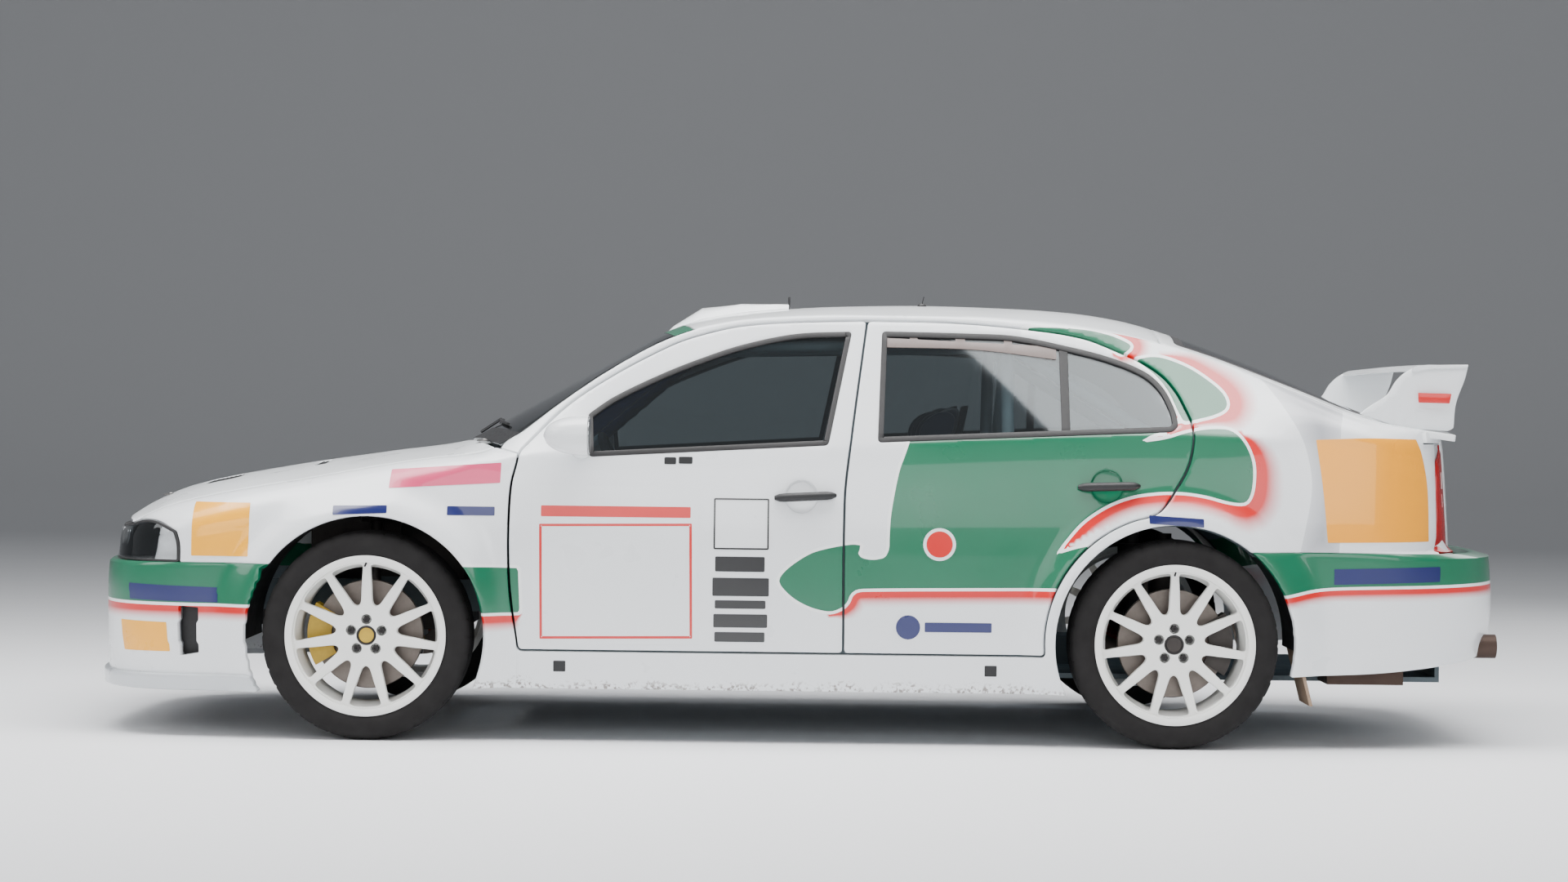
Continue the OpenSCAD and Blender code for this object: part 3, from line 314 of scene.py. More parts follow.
def inside(points, line):
    a = line[:, :2]
    b = np.roll(a, -1, 0)
    hit = np.zeros(len(points), bool)
    for (x0, y0), (x1, y1) in zip(a, b):
        cross = (y0 > points[:, 1]) != (y1 > points[:, 1])
        if y1 != y0:
            hit ^= cross & (points[:, 0] < x0 + (points[:, 1] - y0) / (y1 - y0) * (x1 - x0))
    return hit


def area(line):
    a, b = line, np.roll(line, -1, 0)
    return ((a[:, 0] * b[:, 1] - b[:, 0] * a[:, 1]).sum()) / 2


def grown(line, distance):
    """The outline moved outwards."""
    before, after = np.roll(line, 1, 0), np.roll(line, -1, 0)
    d = (after - before)[:, :2]
    n = np.column_stack([d[:, 1], -d[:, 0]]) / (np.linalg.norm(d, axis=1)[:, None] + 1e-9)
    return line[:, :2] + n * distance * np.sign(area(line))


# ---------- meshes ----------


def triangles(loops, points):
    verts, edges = [], []
    for line in loops:
        k, n = len(verts), len(line)
        verts += [Vector(p) for p in line[:, :2].tolist()]
        edges += [(k + i, k + (i + 1) % n) for i in range(n)]
    verts += [Vector(p) for p in points.tolist()]
    out = delaunay_2d_cdt(verts, edges, [], 0, 1e-4, False)
    co = np.array([tuple(v) for v in out[0]])
    tri = np.array([f for f in out[2] if len(f) == 3])
    mid = co[tri].mean(1)
    keep = inside(mid, loops[0])
    for hole in loops[1:]:
        keep &= ~inside(mid, hole)
    return co, tri[keep]


def grid(loops, step, margin):
    lo, hi = loops[0][:, :2].min(0), loops[0][:, :2].max(0)
    rows = np.arange(lo[1] + step / 2, hi[1], step * 0.87)
    pts = [(x, y) for k, y in enumerate(rows)
           for x in np.arange(lo[0] + (k % 2) * step / 2, hi[0], step)]
    if not pts:
        return np.zeros((0, 2))
    pts = np.array(pts)
    keep = inside(pts, loops[0])
    for hole in loops[1:]:
        keep &= ~inside(pts, hole)
    pts = pts[keep]
    for line in loops:
        if len(pts):
            pts = pts[nearest(pts, line)[0] > margin]
    return pts


def panel(loops, surface, thickness, step=13, edge=3.5, lift=0.0, back_step=60, centre_way=None):
    """A closed plate: its outside follows the surface, with rounded edges."""
    rings = []
    if edge:
        for share in (0.3, 1.0):
            for k, line in enumerate(loops):
                ring = grown(line, -edge * share if k == 0 else edge * share)
                ok = np.ones(len(ring), bool)
                for other in loops:
                    ok &= nearest(ring, other)[0] > edge * share * 0.9
                rings.append(ring[ok])
    inner = grid(loops, step, max(edge * 1.6, step * 0.5))
    co, tri = triangles(loops, np.vstack(rings + [inner]) if rings else inner)
    far = np.min([nearest(co, line)[0] for line in loops], axis=0)
    depth = edge * (1 - np.sqrt(np.clip(1 - (1 - np.minimum(far, edge) / max(edge, 1e-6)) ** 2, 0, 1))) \
        if edge else np.zeros(len(co))
    back_co, back_tri = triangles(loops, grid(loops, back_step, back_step * 0.4))

    def place(p, d):
        e = 0.5
        s = surface(p)
        du = surface(p + [e, 0]) - surface(p - [e, 0])
        dv = surface(p + [0, e]) - surface(p - [0, e])
        n = np.cross(du, dv)
        n /= np.linalg.norm(n, axis=1)[:, None] + 1e-12
        way = np.sign((n * (s - middle)).sum(1))[:, None]
        return s - n * way * np.asarray(d)[:, None]

    middle = np.array(centre_way if centre_way is not None else (0, 0, 500), float)
    if centre_way is None and surface in (side,):
        middle = None
    if middle is None:
        def place(p, d):
            e = 0.5
            s = surface(p)
            dx = (side_y(p[:, 0] + e, p[:, 1]) - side_y(p[:, 0] - e, p[:, 1])) / (2 * e)
            dz = (side_y(p[:, 0], p[:, 1] + e) - side_y(p[:, 0], p[:, 1] - e)) / (2 * e)
            dx = np.clip(dx, -3, 3)
            n = np.column_stack([-dx, np.ones(len(p)), -dz])
            n /= np.linalg.norm(n, axis=1)[:, None]
            return s - n * np.asarray(d)[:, None]
    outer = place(co, depth - lift)
    back = place(back_co, np.full(len(back_co), thickness - lift))
    verts = np.vstack([outer, back])
    faces = [tuple(t) for t in tri.tolist()] + [tuple(i + len(co) for i in t) for t in back_tri.tolist()]
    key = {(round(x, 2), round(y, 2)): i + len(co) for i, (x, y) in enumerate(back_co.tolist())}
    used = {}
    for t in tri.tolist():
        for a, b in ((t[0], t[1]), (t[1], t[2]), (t[2], t[0])):
            used[(min(a, b), max(a, b))] = used.get((min(a, b), max(a, b)), 0) + 1
    for (a, b), n in used.items():
        if n == 1:
            c = key.get((round(co[b][0], 2), round(co[b][1], 2)))
            d = key.get((round(co[a][0], 2), round(co[a][1], 2)))
            if c is not None and d is not None:
                faces.append((a, b, c, d))
    return verts, faces, np.vstack([co, back_co])


def revolve(profile, steps, closed=True):
    """A ring about the Y axis from a profile of (radius, y)."""
    p = np.array(profile, float)
    n = len(p)
    a = np.linspace(0, 2 * math.pi, steps, endpoint=False)
    verts = np.array([(r * math.cos(t), y, r * math.sin(t)) for t in a for r, y in p])
    faces = []
    for i in range(steps):
        j = (i + 1) % steps
        for k in range(n if closed else n - 1):
            m = (k + 1) % n
            faces.append((i * n + k, j * n + k, j * n + m, i * n + m))
    if not closed:
        faces.append(tuple(i * n for i in range(steps)))
        faces.append(tuple(i * n + n - 1 for i in reversed(range(steps))))
    return verts, faces


def box(lo, hi, bevel=0):
    """A block between two corners, with bevelled edges when a width is given."""
    bm = bmesh.new()
    bmesh.ops.create_cube(bm, size=1)
    lo, hi = np.array(lo, float), np.array(hi, float)
    for v in bm.verts:
        v.co = Vector(((lo + hi) / 2 + np.array(v.co) * (hi - lo)).tolist())
    if bevel:
        bmesh.ops.bevel(bm, geom=bm.edges[:], offset=bevel, segments=3, profile=0.5, affect="EDGES")
    bm.verts.ensure_lookup_table()
    verts = np.array([tuple(v.co) for v in bm.verts])
    faces = [tuple(v.index for v in f.verts) for f in bm.faces]
    bm.free()
    return verts, faces


def sweep(points, radius, sides=12, closed=False, scale=(1, 1)):
    """A round bar along points, as an open run with capped ends or a closed ring."""
    p = np.array(points, float)
    n = len(p)
    verts = []
    up = np.array([0, 0, 1.0])
    for i in range(n):
        d = (p[(i + 1) % n] - p[i - 1]) if closed else p[min(i + 1, n - 1)] - p[max(i - 1, 0)]
        d /= np.linalg.norm(d)
        if i == 0:
            first = up if abs(d @ up) < 0.9 else np.array([0, 1.0, 0])
        across = np.cross(d, first)
        across /= np.linalg.norm(across)
        first = np.cross(across, d)
        r = radius[i] if hasattr(radius, "__len__") else radius
        for k in range(sides):
            t = 2 * math.pi * k / sides
            verts.append(p[i] + r * (math.cos(t) * across * scale[0] + math.sin(t) * first * scale[1]))
    faces = []
    for i in range(n if closed else n - 1):
        j = (i + 1) % n
        for k in range(sides):
            m = (k + 1) % sides
            faces.append((i * sides + k, j * sides + k, j * sides + m, i * sides + m))
    if not closed:
        faces.append(tuple(range(sides)))
        faces.append(tuple((n - 1) * sides + k for k in reversed(range(sides))))
    return np.array(verts), faces


def loft(rows):
    """A closed form through rings of equal count, capped at both ends."""
    n = len(rows[0])
    faces = [(r * n + k, r * n + (k + 1) % n, (r + 1) * n + (k + 1) % n, (r + 1) * n + k)
             for r in range(len(rows) - 1) for k in range(n)]
    faces += [tuple(range(n))[::-1], tuple((len(rows) - 1) * n + k for k in range(n))]
    return np.array([p for row in rows for p in row], float), faces


def join(*parts):
    verts, faces, k = [], [], 0
    for part in parts:
        verts.append(part[0])
        faces += [tuple(i + k for i in f) for f in part[1]]
        k += len(part[0])
    return np.vstack(verts), faces


def moved(part, offset=(0, 0, 0), turn=None):
    verts = part[0]
    if turn is not None:
        verts = verts @ np.array(turn.to_3x3()).T
    return (verts + np.array(offset, float),) + tuple(part[1:])


def mirrored(part):
    return (part[0] * [1, -1, 1],) + tuple(part[1:])


def both(part):
    return join(part, mirrored(part))


def make(name, part, material, body, replaces=(), attributes=None, smooth=35):
    """A Blender object from vertices in millimetres."""
    mesh = bpy.data.meshes.new(name)
    mesh.from_pydata((part[0] * MM).tolist(), [], part[1])
    bm = bmesh.new()
    bm.from_mesh(mesh)
    bmesh.ops.recalc_face_normals(bm, faces=bm.faces[:])
    bm.to_mesh(mesh)
    bm.free()
    for key, values in (attributes or {}).items():
        layer = mesh.attributes.new(key, "FLOAT", "POINT")
        layer.data.foreach_set("value", np.asarray(values, np.float32))
    mesh.shade_smooth()
    mesh.set_sharp_from_angle(angle=math.radians(smooth))
    mesh.materials.append(material)
    obj = bpy.data.objects.new(name, mesh)
    bpy.context.scene.collection.objects.link(obj)
    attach(obj, body)
    if replaces:
        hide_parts(*replaces)
    return obj


# ---------- materials ----------


class Nodes:
    """A material under construction."""

    def __init__(self, name):
        self.material = bpy.data.materials.new(name)
        self.material.use_nodes = True
        self.tree = self.material.node_tree
        self.shader = self.tree.nodes["Principled BSDF"]

    def add(self, kind, **settings):
        n = self.tree.nodes.new(kind)
        for key, value in settings.items():
            setattr(n, key, value)
        return n

    def link(self, a, b):
        self.tree.links.new(a, b)

    def put(self, socket, value):
        if isinstance(value, bpy.types.NodeSocket):
            self.link(value, socket)
        else:
            socket.default_value = value

    def math(self, operation, a, b=0.0, clamp=False):
        n = self.add("ShaderNodeMath", operation=operation, use_clamp=clamp)
        self.put(n.inputs[0], a)
        self.put(n.inputs[1], b)
        return n.outputs[0]

    def mix(self, factor, a, b):
        n = self.add("ShaderNodeMix", data_type="RGBA")
        self.put(n.inputs[0], factor)
        self.put(n.inputs[6], a)
        self.put(n.inputs[7], b)
        return n.outputs[2]

    def place(self):
        return self.add("ShaderNodeTexCoord").outputs["Object"]

    def noise(self, scale, detail=4.0, where=None):
        n = self.add("ShaderNodeTexNoise")
        n.inputs["Scale"].default_value = scale
        n.inputs["Detail"].default_value = detail
        self.link(where or self.place(), n.inputs["Vector"])
        return n.outputs["Fac"]

    def spread(self, value, low, high, to_low=0.0, to_high=1.0):
        n = self.add("ShaderNodeMapRange")
        self.put(n.inputs[0], value)
        for k, v in enumerate((low, high, to_low, to_high)):
            n.inputs[k + 1].default_value = v
        return n.outputs[0]

    def bump(self, height, strength, distance=0.001):
        n = self.add("ShaderNodeBump")
        n.inputs["Strength"].default_value = strength
        n.inputs["Distance"].default_value = distance
        self.link(height, n.inputs["Height"])
        self.link(n.outputs[0], self.shader.inputs["Normal"])

    def attribute(self, name):
        return self.add("ShaderNodeAttribute", attribute_name=name).outputs["Fac"]


def rgb(r, g, b):
    return tuple(((c / 255 + 0.055) / 1.055) ** 2.4 if c > 10 else c / 255 / 12.92 for c in (r, g,
            b)) + (1,)


WHITE = rgb(232, 235, 237)
GREEN = rgb(0, 102, 70)
RED = rgb(204, 14, 12)
BLUE = rgb(10, 22, 88)
YELLOW = rgb(250, 172, 0)


def gloss(n, colour, low=0.26, high=0.38, coat=0.6):
    """Paint under lacquer: cloudy roughness and a fine orange-peel bump."""
    n.put(n.shader.inputs["Base Color"], colour)
    n.link(n.spread(n.noise(6), 0.3, 0.7, low, high), n.shader.inputs["Roughness"])
    n.shader.inputs["Coat Weight"].default_value = coat
    n.shader.inputs["Coat Roughness"].default_value = 0.04
    n.bump(n.noise(900, 2), 0.04, 0.0005)


def paint(name, colour, shade=0.06, **settings):
    n = Nodes(name)
    dull = tuple(c * (1 - shade) for c in colour[:3]) + (1,)
    gloss(n, n.mix(n.noise(3), colour, dull), **settings)
    return n.material


def livery(name, line=0.0095):
    """White paint with the green shapes, their white lines and the airbrushed red, from the
    distances stored on the mesh, and road dirt along the sill."""
    n = Nodes(name)
    cloud = n.noise(2.5)
    base = n.mix(cloud, WHITE, rgb(224, 227, 230))
    grey = n.attribute("grey")
    base = n.mix(n.math("MULTIPLY", n.math("GREATER_THAN", grey, 0.0), n.spread(grey, 0, 60, 0.5, 1.0)),
                 base, rgb(160, 162, 168))
    grain = n.noise(700, 2)
    red = n.math("ADD", n.attribute("red"), n.spread(grain, 0, 1, -0.05, 0.05))
    base = n.mix(n.spread(red, 0.0, 0.62), base, RED)
    green = n.attribute("green")
    base = n.mix(n.math("LESS_THAN", green, line / MM), base, rgb(238, 240, 240))
    deep = n.mix(cloud, GREEN, rgb(0, 94, 64))
    base = n.mix(n.math("LESS_THAN", green, 0.0), base, deep)
    split = n.add("ShaderNodeSeparateXYZ")
    n.link(n.place(), split.inputs[0])
    foot = n.spread(n.math("ADD", split.outputs[2], n.spread(n.noise(14, 6), 0, 1, -0.045, 0.045)),
                    0.172, 0.196, 1, 0)
    scuffs = n.spread(n.noise(90, 5), 0.5, 0.62)
    base = n.mix(n.math("MULTIPLY", n.math("MULTIPLY", foot, scuffs), 0.8), base, rgb(96, 80, 66))
    gloss(n, base)
    return n.material


def plain(name, colour, rough=0.5, grain=120.0, bump=0.2, metal=0.0, shade=0.25, spec=0.5, depth=0.0006):
    n = Nodes(name)
    dull = tuple(c * (1 - shade) for c in colour[:3]) + (1,)
    fac = n.noise(grain, 5)
    n.put(n.shader.inputs["Base Color"], n.mix(fac, colour, dull))
    n.link(n.spread(n.noise(grain * 0.4), 0.3, 0.7, rough - 0.06, rough + 0.08),
            n.shader.inputs["Roughness"])
    n.shader.inputs["Metallic"].default_value = metal
    n.shader.inputs["Specular IOR Level"].default_value = spec
    n.bump(fac, bump, depth)
    return n.material


def glass(name, colour, share, rough=0.02):
    """Thin tinted glass: what lies behind shows through, and the studio reflects in it."""
    n = Nodes(name)
    t, out = n.tree, n.tree.nodes["Material Output"]
    clear = n.add("ShaderNodeBsdfTransparent")
    clear.inputs[0].default_value = colour
    mix = n.add("ShaderNodeMixShader")
    fresnel = n.add("ShaderNodeFresnel")
    fresnel.inputs[0].default_value = 1.5
    n.link(n.math("ADD", fresnel.outputs[0], share, clamp=True), mix.inputs[0])
    n.shader.inputs["Base Color"].default_value = (0.9, 0.93, 0.95, 1)
    n.shader.inputs["Metallic"].default_value = 1.0
    n.link(n.spread(n.noise(8), 0, 1, rough, rough + 0.03), n.shader.inputs["Roughness"])
    n.link(clear.outputs[0], mix.inputs[1])
    n.link(n.shader.outputs[0], mix.inputs[2])
    t.links.new(mix.outputs[0], out.inputs[0])
    return n.material


def weave(name, colour, size=900):
    """Woven cover of a seat or a pad."""
    n = Nodes(name)
    wave = n.add("ShaderNodeTexWave", wave_type="BANDS", bands_direction="DIAGONAL")
    wave.inputs["Scale"].default_value = size
    n.link(n.place(), wave.inputs["Vector"])
    dull = tuple(c * 0.55 for c in colour[:3]) + (1,)
    n.put(n.shader.inputs["Base Color"], n.mix(wave.outputs["Fac"], colour, dull))
    n.shader.inputs["Roughness"].default_value = 0.85
    n.shader.inputs["Sheen Weight"].default_value = 0.3
    n.bump(wave.outputs["Fac"], 0.3, 0.0008)
    return n.material


LIVERY = livery("livery_paint")
WHITE_PAINT = paint("white_lacquer", WHITE)
RUBBER = plain("window_rubber", rgb(34, 33, 34), 0.55, 300)
BLACK = plain("black_moulding", rgb(24, 24, 26), 0.5, 260)
TYRE = plain("tyre_rubber", rgb(27, 25, 25), 0.8, 40, 0.5, depth=0.0012, shade=0.4, spec=0.3)
RIM = paint("rim_lacquer", rgb(236, 236, 232), shade=0.1, low=0.3, high=0.42, coat=0.5)
STEEL = plain("bare_steel", rgb(150, 148, 146), 0.35, 80, 0.15, metal=1.0)
IRON = plain("sooty_iron", rgb(70, 66, 64), 0.5, 60, 0.4, metal=0.8)
CAGE = paint("cage_lacquer", rgb(188, 205, 212), low=0.35, high=0.45, coat=0.3)
CABIN = plain("cabin_paint", rgb(84, 98, 104), 0.5, 30)
CARPET = plain("dark_trim", rgb(20, 21, 23), 0.9, 200, 0.6)
FLAP = plain("flap_rubber_tan", rgb(172, 146, 122), 0.7, 20, 0.4, shade=0.3)
LINER = plain("arch_liner_black", rgb(14, 14, 15), 0.8, 60, 0.5)
SEAT = weave("seat_weave", rgb(24, 34, 62))
GLASS = glass("side_glass", (0.7, 0.74, 0.75, 1), 0.02)
DARK_GLASS = glass("screen_glass", (0.42, 0.46, 0.5, 1), 0.1)
LENS = glass("lamp_lens_clear", (0.96, 0.97, 0.98, 1), 0.02)
CHROME = plain("lamp_reflector_painted_glow", rgb(225, 228, 230), 0.12, 40, 0.05, metal=1.0, shade=0.1)
GREEN_PAINT = paint("green_lacquer", GREEN)
RED_LENS = plain("red_lens_plastic", rgb(168, 18, 20), 0.12, 500, 0.1, shade=0.2)
FROSTED = plain("clear_lamp_plastic", rgb(206, 200, 198), 0.15, 400, 0.2, shade=0.15)
STEEL_DARK = plain("dark_steel", rgb(62, 60, 60), 0.35, 90, 0.15, metal=1.0)
DISC = plain("brake_disc_iron", rgb(120, 112, 106), 0.38, 70, 0.2, metal=1.0)
RED_BELL = plain("red_disc_bell", rgb(150, 30, 28), 0.4, 60, 0.1)
TRAY = plain("lamp_tray_painted_glow", rgb(226, 228, 230), 0.3, 60, 0.1)
# Painted light: the headlight tray, and the reflector chrome of the lamp bowls and mirror glass, get a
# faint white self-glow although no lamp is lit.
for glowing_material, painted_glow in ((TRAY, 0.4), (CHROME, 0.1)):
    sockets = glowing_material.node_tree.nodes["Principled BSDF"].inputs
    sockets["Emission Color"].default_value = (1, 1, 1, 1)
    sockets["Emission Strength"].default_value = painted_glow
SOOT = plain("sooty_steel", rgb(74, 58, 50), 0.55, 50, 0.3, metal=0.6)
YELLOW_PAINT = paint("yellow_lacquer", YELLOW)
AMBER_PAINT = paint("amber_lacquer", rgb(246, 160, 0))
BLUE_PAINT = paint("blue_lacquer", BLUE)
RED_PAINT = paint("red_lacquer", RED)
PINK_PAINT = paint("pink_lacquer", rgb(212, 66, 108))
BLACK_PAINT = paint("black_lacquer", rgb(22, 22, 24))
TAUPE = plain("taupe_moulding", rgb(128, 116, 112), 0.45, 200)
GREY_LIP = paint("grey_lacquer", rgb(196, 200, 204))
PAD = weave("cage_pad_cover", rgb(30, 52, 120), 500)
STRAP = weave("harness_web", rgb(150, 24, 30), 700)
SUEDE = plain("suede_trim", rgb(28, 28, 30), 0.9, 400, 0.5)
CALIPER = plain("yellow_caliper_paint", rgb(196, 160, 40), 0.45, 60, 0.2)

# ---------- livery shapes: x, z and the width of the red airbrush outside them ----------
BIG_GREEN = loop([
    (345, 960, 0), (327, 907, 0), (308, 853, 0), (284, 723, 0), (279, 646, 0), (278, 612, 0), (266, 586, 0),
    (232, 579, 0), (196, 584, 0), (181, 596, 0), (192, 623, 0), (168, 626, 0), (136, 622, 0), (86, 612, 0),
    (35, 596, 0), (-22, 560, 0), (-53, 531, 0), (-64, 513, 0), (-56, 494, 0), (-20, 459, 0), (24, 434, 0),
    (69, 420, 0), (101, 417, 6), (132, 429, 34), (151, 448, 44), (158, 468, 46), (178, 485, 46),
    (215, 489, 46), (500, 494, 46), (960, 500, 46), (960, 640, 0), (885, 628, 0), (828, 612, 10),
    (793, 599, 26), (821, 640, 46), (878, 705, 52), (953, 756, 52), (1029, 786, 50), (1092, 797, 50),
    (1143, 801, 50), (1206, 799, 50), (1270, 789, 52), (1333, 773, 58), (1381, 769, 88), (1397, 781, 96),
    (1409, 819, 90), (1411, 889, 78), (1395, 939, 50), (1369, 977, 6), (1344, 994, 0), (1318, 998, 0),
    (1267, 996, 0), (1204, 984, 14), (1141, 965, 16), (1052, 951, 10), (1090, 974, 14), (1141, 993, 14),
    (1178, 1022, 10)], radius=4, sharp=48, step=10)
PILLAR_GREEN = loop([
    (1059, 1214, 0), (1111, 1224, 0), (1156, 1218, 10), (1221, 1193, 46), (1273, 1161, 60),
    (1325, 1117, 80), (1341, 1085, 92), (1335, 1062, 80), (1300, 1043, 34), (1248, 1029, 16),
    (1200, 1019, 16), (1184, 1051, 0), (1157, 1115, 0), (1118, 1166, 0)], radius=6, sharp=60, step=8)
ROOF_GREEN = loop([
    (700, 1307, 0), (728, 1313, 0), (838, 1313, 0), (922, 1305, 0), (987, 1289, 16), (1033, 1269, 40),
    (1046, 1260, 60), (1043, 1250, 50), (1014, 1233, 20), (981, 1250, 0), (903, 1279, 0), (806, 1301, 0)],
    radius=5, sharp=60, step=8)
WING_GREEN = loop([(-1100, 545, 0), (-875, 540, 0), (-869, 403, 0), (-880, 402, 45), (-1100, 397, 45),
                   (-1101, 420, 0)], radius=1, sharp=20, step=8)
NOSE_GREEN = loop([(-2400, 700, 0), (-1500, 700, 0), (-1500, 432, 0), (-1500, 417, 44), (-2400, 420, 44),
                   (-2400, 440, 0)], radius=1, sharp=20, step=20)
TAIL_GREEN = loop([(1300, 800, 0), (2500, 800, 0), (2500, 540, 0), (2500, 530, 36), (1990, 517, 36),
                   (1700, 510, 36), (1610, 503, 36), (1515, 484, 36), (1300, 446, 36), (1300, 470, 0)],
                  radius=1, sharp=20, step=20)
QUARTER_GREY = loop([(1440, 1175), (1465, 1148), (1516, 1072), (1569, 970), (1591, 885), (1596, 817),
                     (1584, 732), (1556, 600), (1680, 600), (1690, 800), (1690, 1000), (1720, 1090)],
                    radius=4, sharp=60, step=10)
LINE = 9.5


def fields(domain, shapes, lip=False, grey=False):
    """Livery values at each vertex of a side panel."""
    green = np.full(len(domain), 500.0)
    red = np.zeros(len(domain))
    for shape in shapes:
        far, width = nearest(domain, shape)
        far = np.where(inside(domain, shape), -far, far)
        fade = np.clip(1 - (far - LINE) / np.maximum(width, 1), 0, 1) * (width > 4)
        red = np.maximum(red, np.where(far > -12, fade, 0))
        green = np.minimum(green, far)
    if lip:
        ring = np.hypot(domain[:, 0] - REAR_AXLE, domain[:, 1] - TYRE_RADIUS)
        low = (domain[:, 0] < REAR_AXLE) & (ring < DOOR_ARC + 12)
        green = np.where(low, 500, green)
        red = np.where(low, 0, red)
    shade = np.full(len(domain), -100.0)
    if grey:
        far = nearest(domain, QUARTER_GREY)[0]
        shade = np.where(inside(domain, QUARTER_GREY), far, -far)
    return {"green": green, "red": red, "grey": shade}


# ---------- outlines of the body ----------
WINDOW_FRONT = loop([(-660, 890), (85, 934), (158, 1292), (-20, 1282), (-186, 1246), (-314, 1202),
                     (-440, 1150), (-588, 1076), (-668, 1020)], radius=12)
WINDOW_REAR = loop([(242, 945), (256, 1294), (541, 1290), (677, 1284), (824, 1257), (974, 1220),
                    (1086, 1174), (1140, 1124), (1174, 1050), (1180, 1005), (1160, 988)], radius=12)
PILLAR_LINE = [(139, 284), (139, 763), (155, 929)]
DOOR_FOOT = 284
FRONT_DOOR = loop([(-880, 905), (-886, 870), (-901, 802), (-907, 680), (-905, 536), (-897, 439),
                   (-874, DOOR_FOOT)] + PILLAR_LINE
                  + [(208, 1330), (0, 1324), (-188, 1309), (-317, 1279), (-415, 1243), (-593, 1147),
                     (-740, 1046)], radius=16, sharp=28)
foot_angle = 180 - math.degrees(math.asin((DOOR_FOOT - TYRE_RADIUS) / DOOR_ARC))
REAR_DOOR = loop(PILLAR_LINE + [(208, 1330), (500, 1326), (760, 1304), (900, 1280), (1004, 1240),
                                (1084, 1202), (1143, 1160), (1182, 1112), (1205, 1066), (1226, 1010),
                                (1227, 952), (1207, 872), (1155, 785), (1118, 742)]
                 + arc(REAR_AXLE, TYRE_RADIUS, DOOR_ARC, 102, foot_angle, 12), radius=16, sharp=28)
BOTH_DOORS = loop([(-880, 905), (-886, 870), (-901, 802), (-907, 680), (-905, 536), (-897, 439),
                   (-874, DOOR_FOOT)]
                  + arc(REAR_AXLE, TYRE_RADIUS, DOOR_ARC, foot_angle, 102, 12)
                  + [(1118, 742), (1155, 785), (1207, 872), (1227, 952), (1226, 1010), (1205, 1066),
                     (1182, 1112), (1143, 1160), (1084, 1202), (1004, 1240), (900, 1280), (760, 1304),
                     (500, 1326), (208, 1330), (0, 1324), (-188, 1309), (-317, 1279), (-415, 1243),
                     (-593, 1147), (-740, 1046)], radius=16, sharp=28)


def rail_line(start, end, count, drop=0.0):
    return [(x, float(RAIL_Z(x)) - drop) for x in np.linspace(start, end, count)]


SILL_FOOT = 165
low_angle = 180 + math.degrees(math.asin((TYRE_RADIUS - SILL_FOOT) / ARCH))
high_angle = math.degrees(math.asin((REAR_BUMPER_TOP - TYRE_RADIUS) / ARCH))
FRAME_OUTER = loop([(-880, SILL_FOOT)] + arc(REAR_AXLE, TYRE_RADIUS, ARCH, low_angle, high_angle, 30)
                   + [(LIGHT_FRONT, REAR_BUMPER_TOP + 1), (LIGHT_FRONT, 958), (1963, 958)]
                   + rail_line(1963, -930, 60) + [(-940, 914), (-883, 899)], radius=2, sharp=24)
front_low = math.degrees(math.asin((TYRE_RADIUS - SILL_FOOT) / ARCH))
nose_high = 180 - math.degrees(math.asin((BUMPER_TOP - TYRE_RADIUS) / ARCH))
WING = loop([(-886, 897), (-943, 912)] + rail_line(-960, -2118, 40) + [(-2118, 676), (-2062, 676),
            (-2008, 671), (-1946, 641), (-1935, 604), (-1933, BUMPER_TOP + 1)]
            + arc(FRONT_AXLE, TYRE_RADIUS, ARCH, nose_high, -front_low, 30)
            + [(-879, SILL_FOOT), (-878, DOOR_FOOT)] + [(-901, 439), (-909, 536), (-911, 680), (-905, 802),
            (-890, 870)], radius=2, sharp=24)


def circle(x, z, r, steps=36):
    a = np.linspace(0, 2 * math.pi, steps, endpoint=False)
    return np.column_stack([x + r * np.cos(a), z + r * np.sin(a)])


def bowl(x, z, r, deep):
    """The side with a round hollow."""
    def surface(p):
        s = side(p)
        far = np.hypot(p[:, 0] - x, p[:, 1] - z)
        s[:, 1] -= deep * (1 - np.minimum(far / r, 1) ** 2.5) + 0.6
        return s
    return surface


SIDES = (("right", False), ("left", True))


def on(part, flip):
    return mirrored(part) if flip else part


HANDLES = {"front": ((-80, 768), (110, 778), (4, 772)), "rear": ((864, 812), (1055, 818), (955, 815))}
DOORS = {
    "front": (FRONT_DOOR, WINDOW_FRONT, [BIG_GREEN, WING_GREEN]),
    "rear": (REAR_DOOR, WINDOW_REAR, [BIG_GREEN, PILLAR_GREEN, ROOF_GREEN]),
}


def door_card(outline):
    """The lower part of a door, inside its rim."""
    low = grown(outline, -30)
    low = low[:, :2]
    keep = [p for p in low if p[1] < 862 + 0.04 * p[0]]
    left = min(keep, key=lambda p: p[0] - 0.001 * p[1])
    top_left = max((p for p in keep if p[0] < left[0] + 60), key=lambda p: p[1])
    start = [i for i, p in enumerate(keep) if p is top_left][0]
    return np.array(keep[start:] + keep[:start])


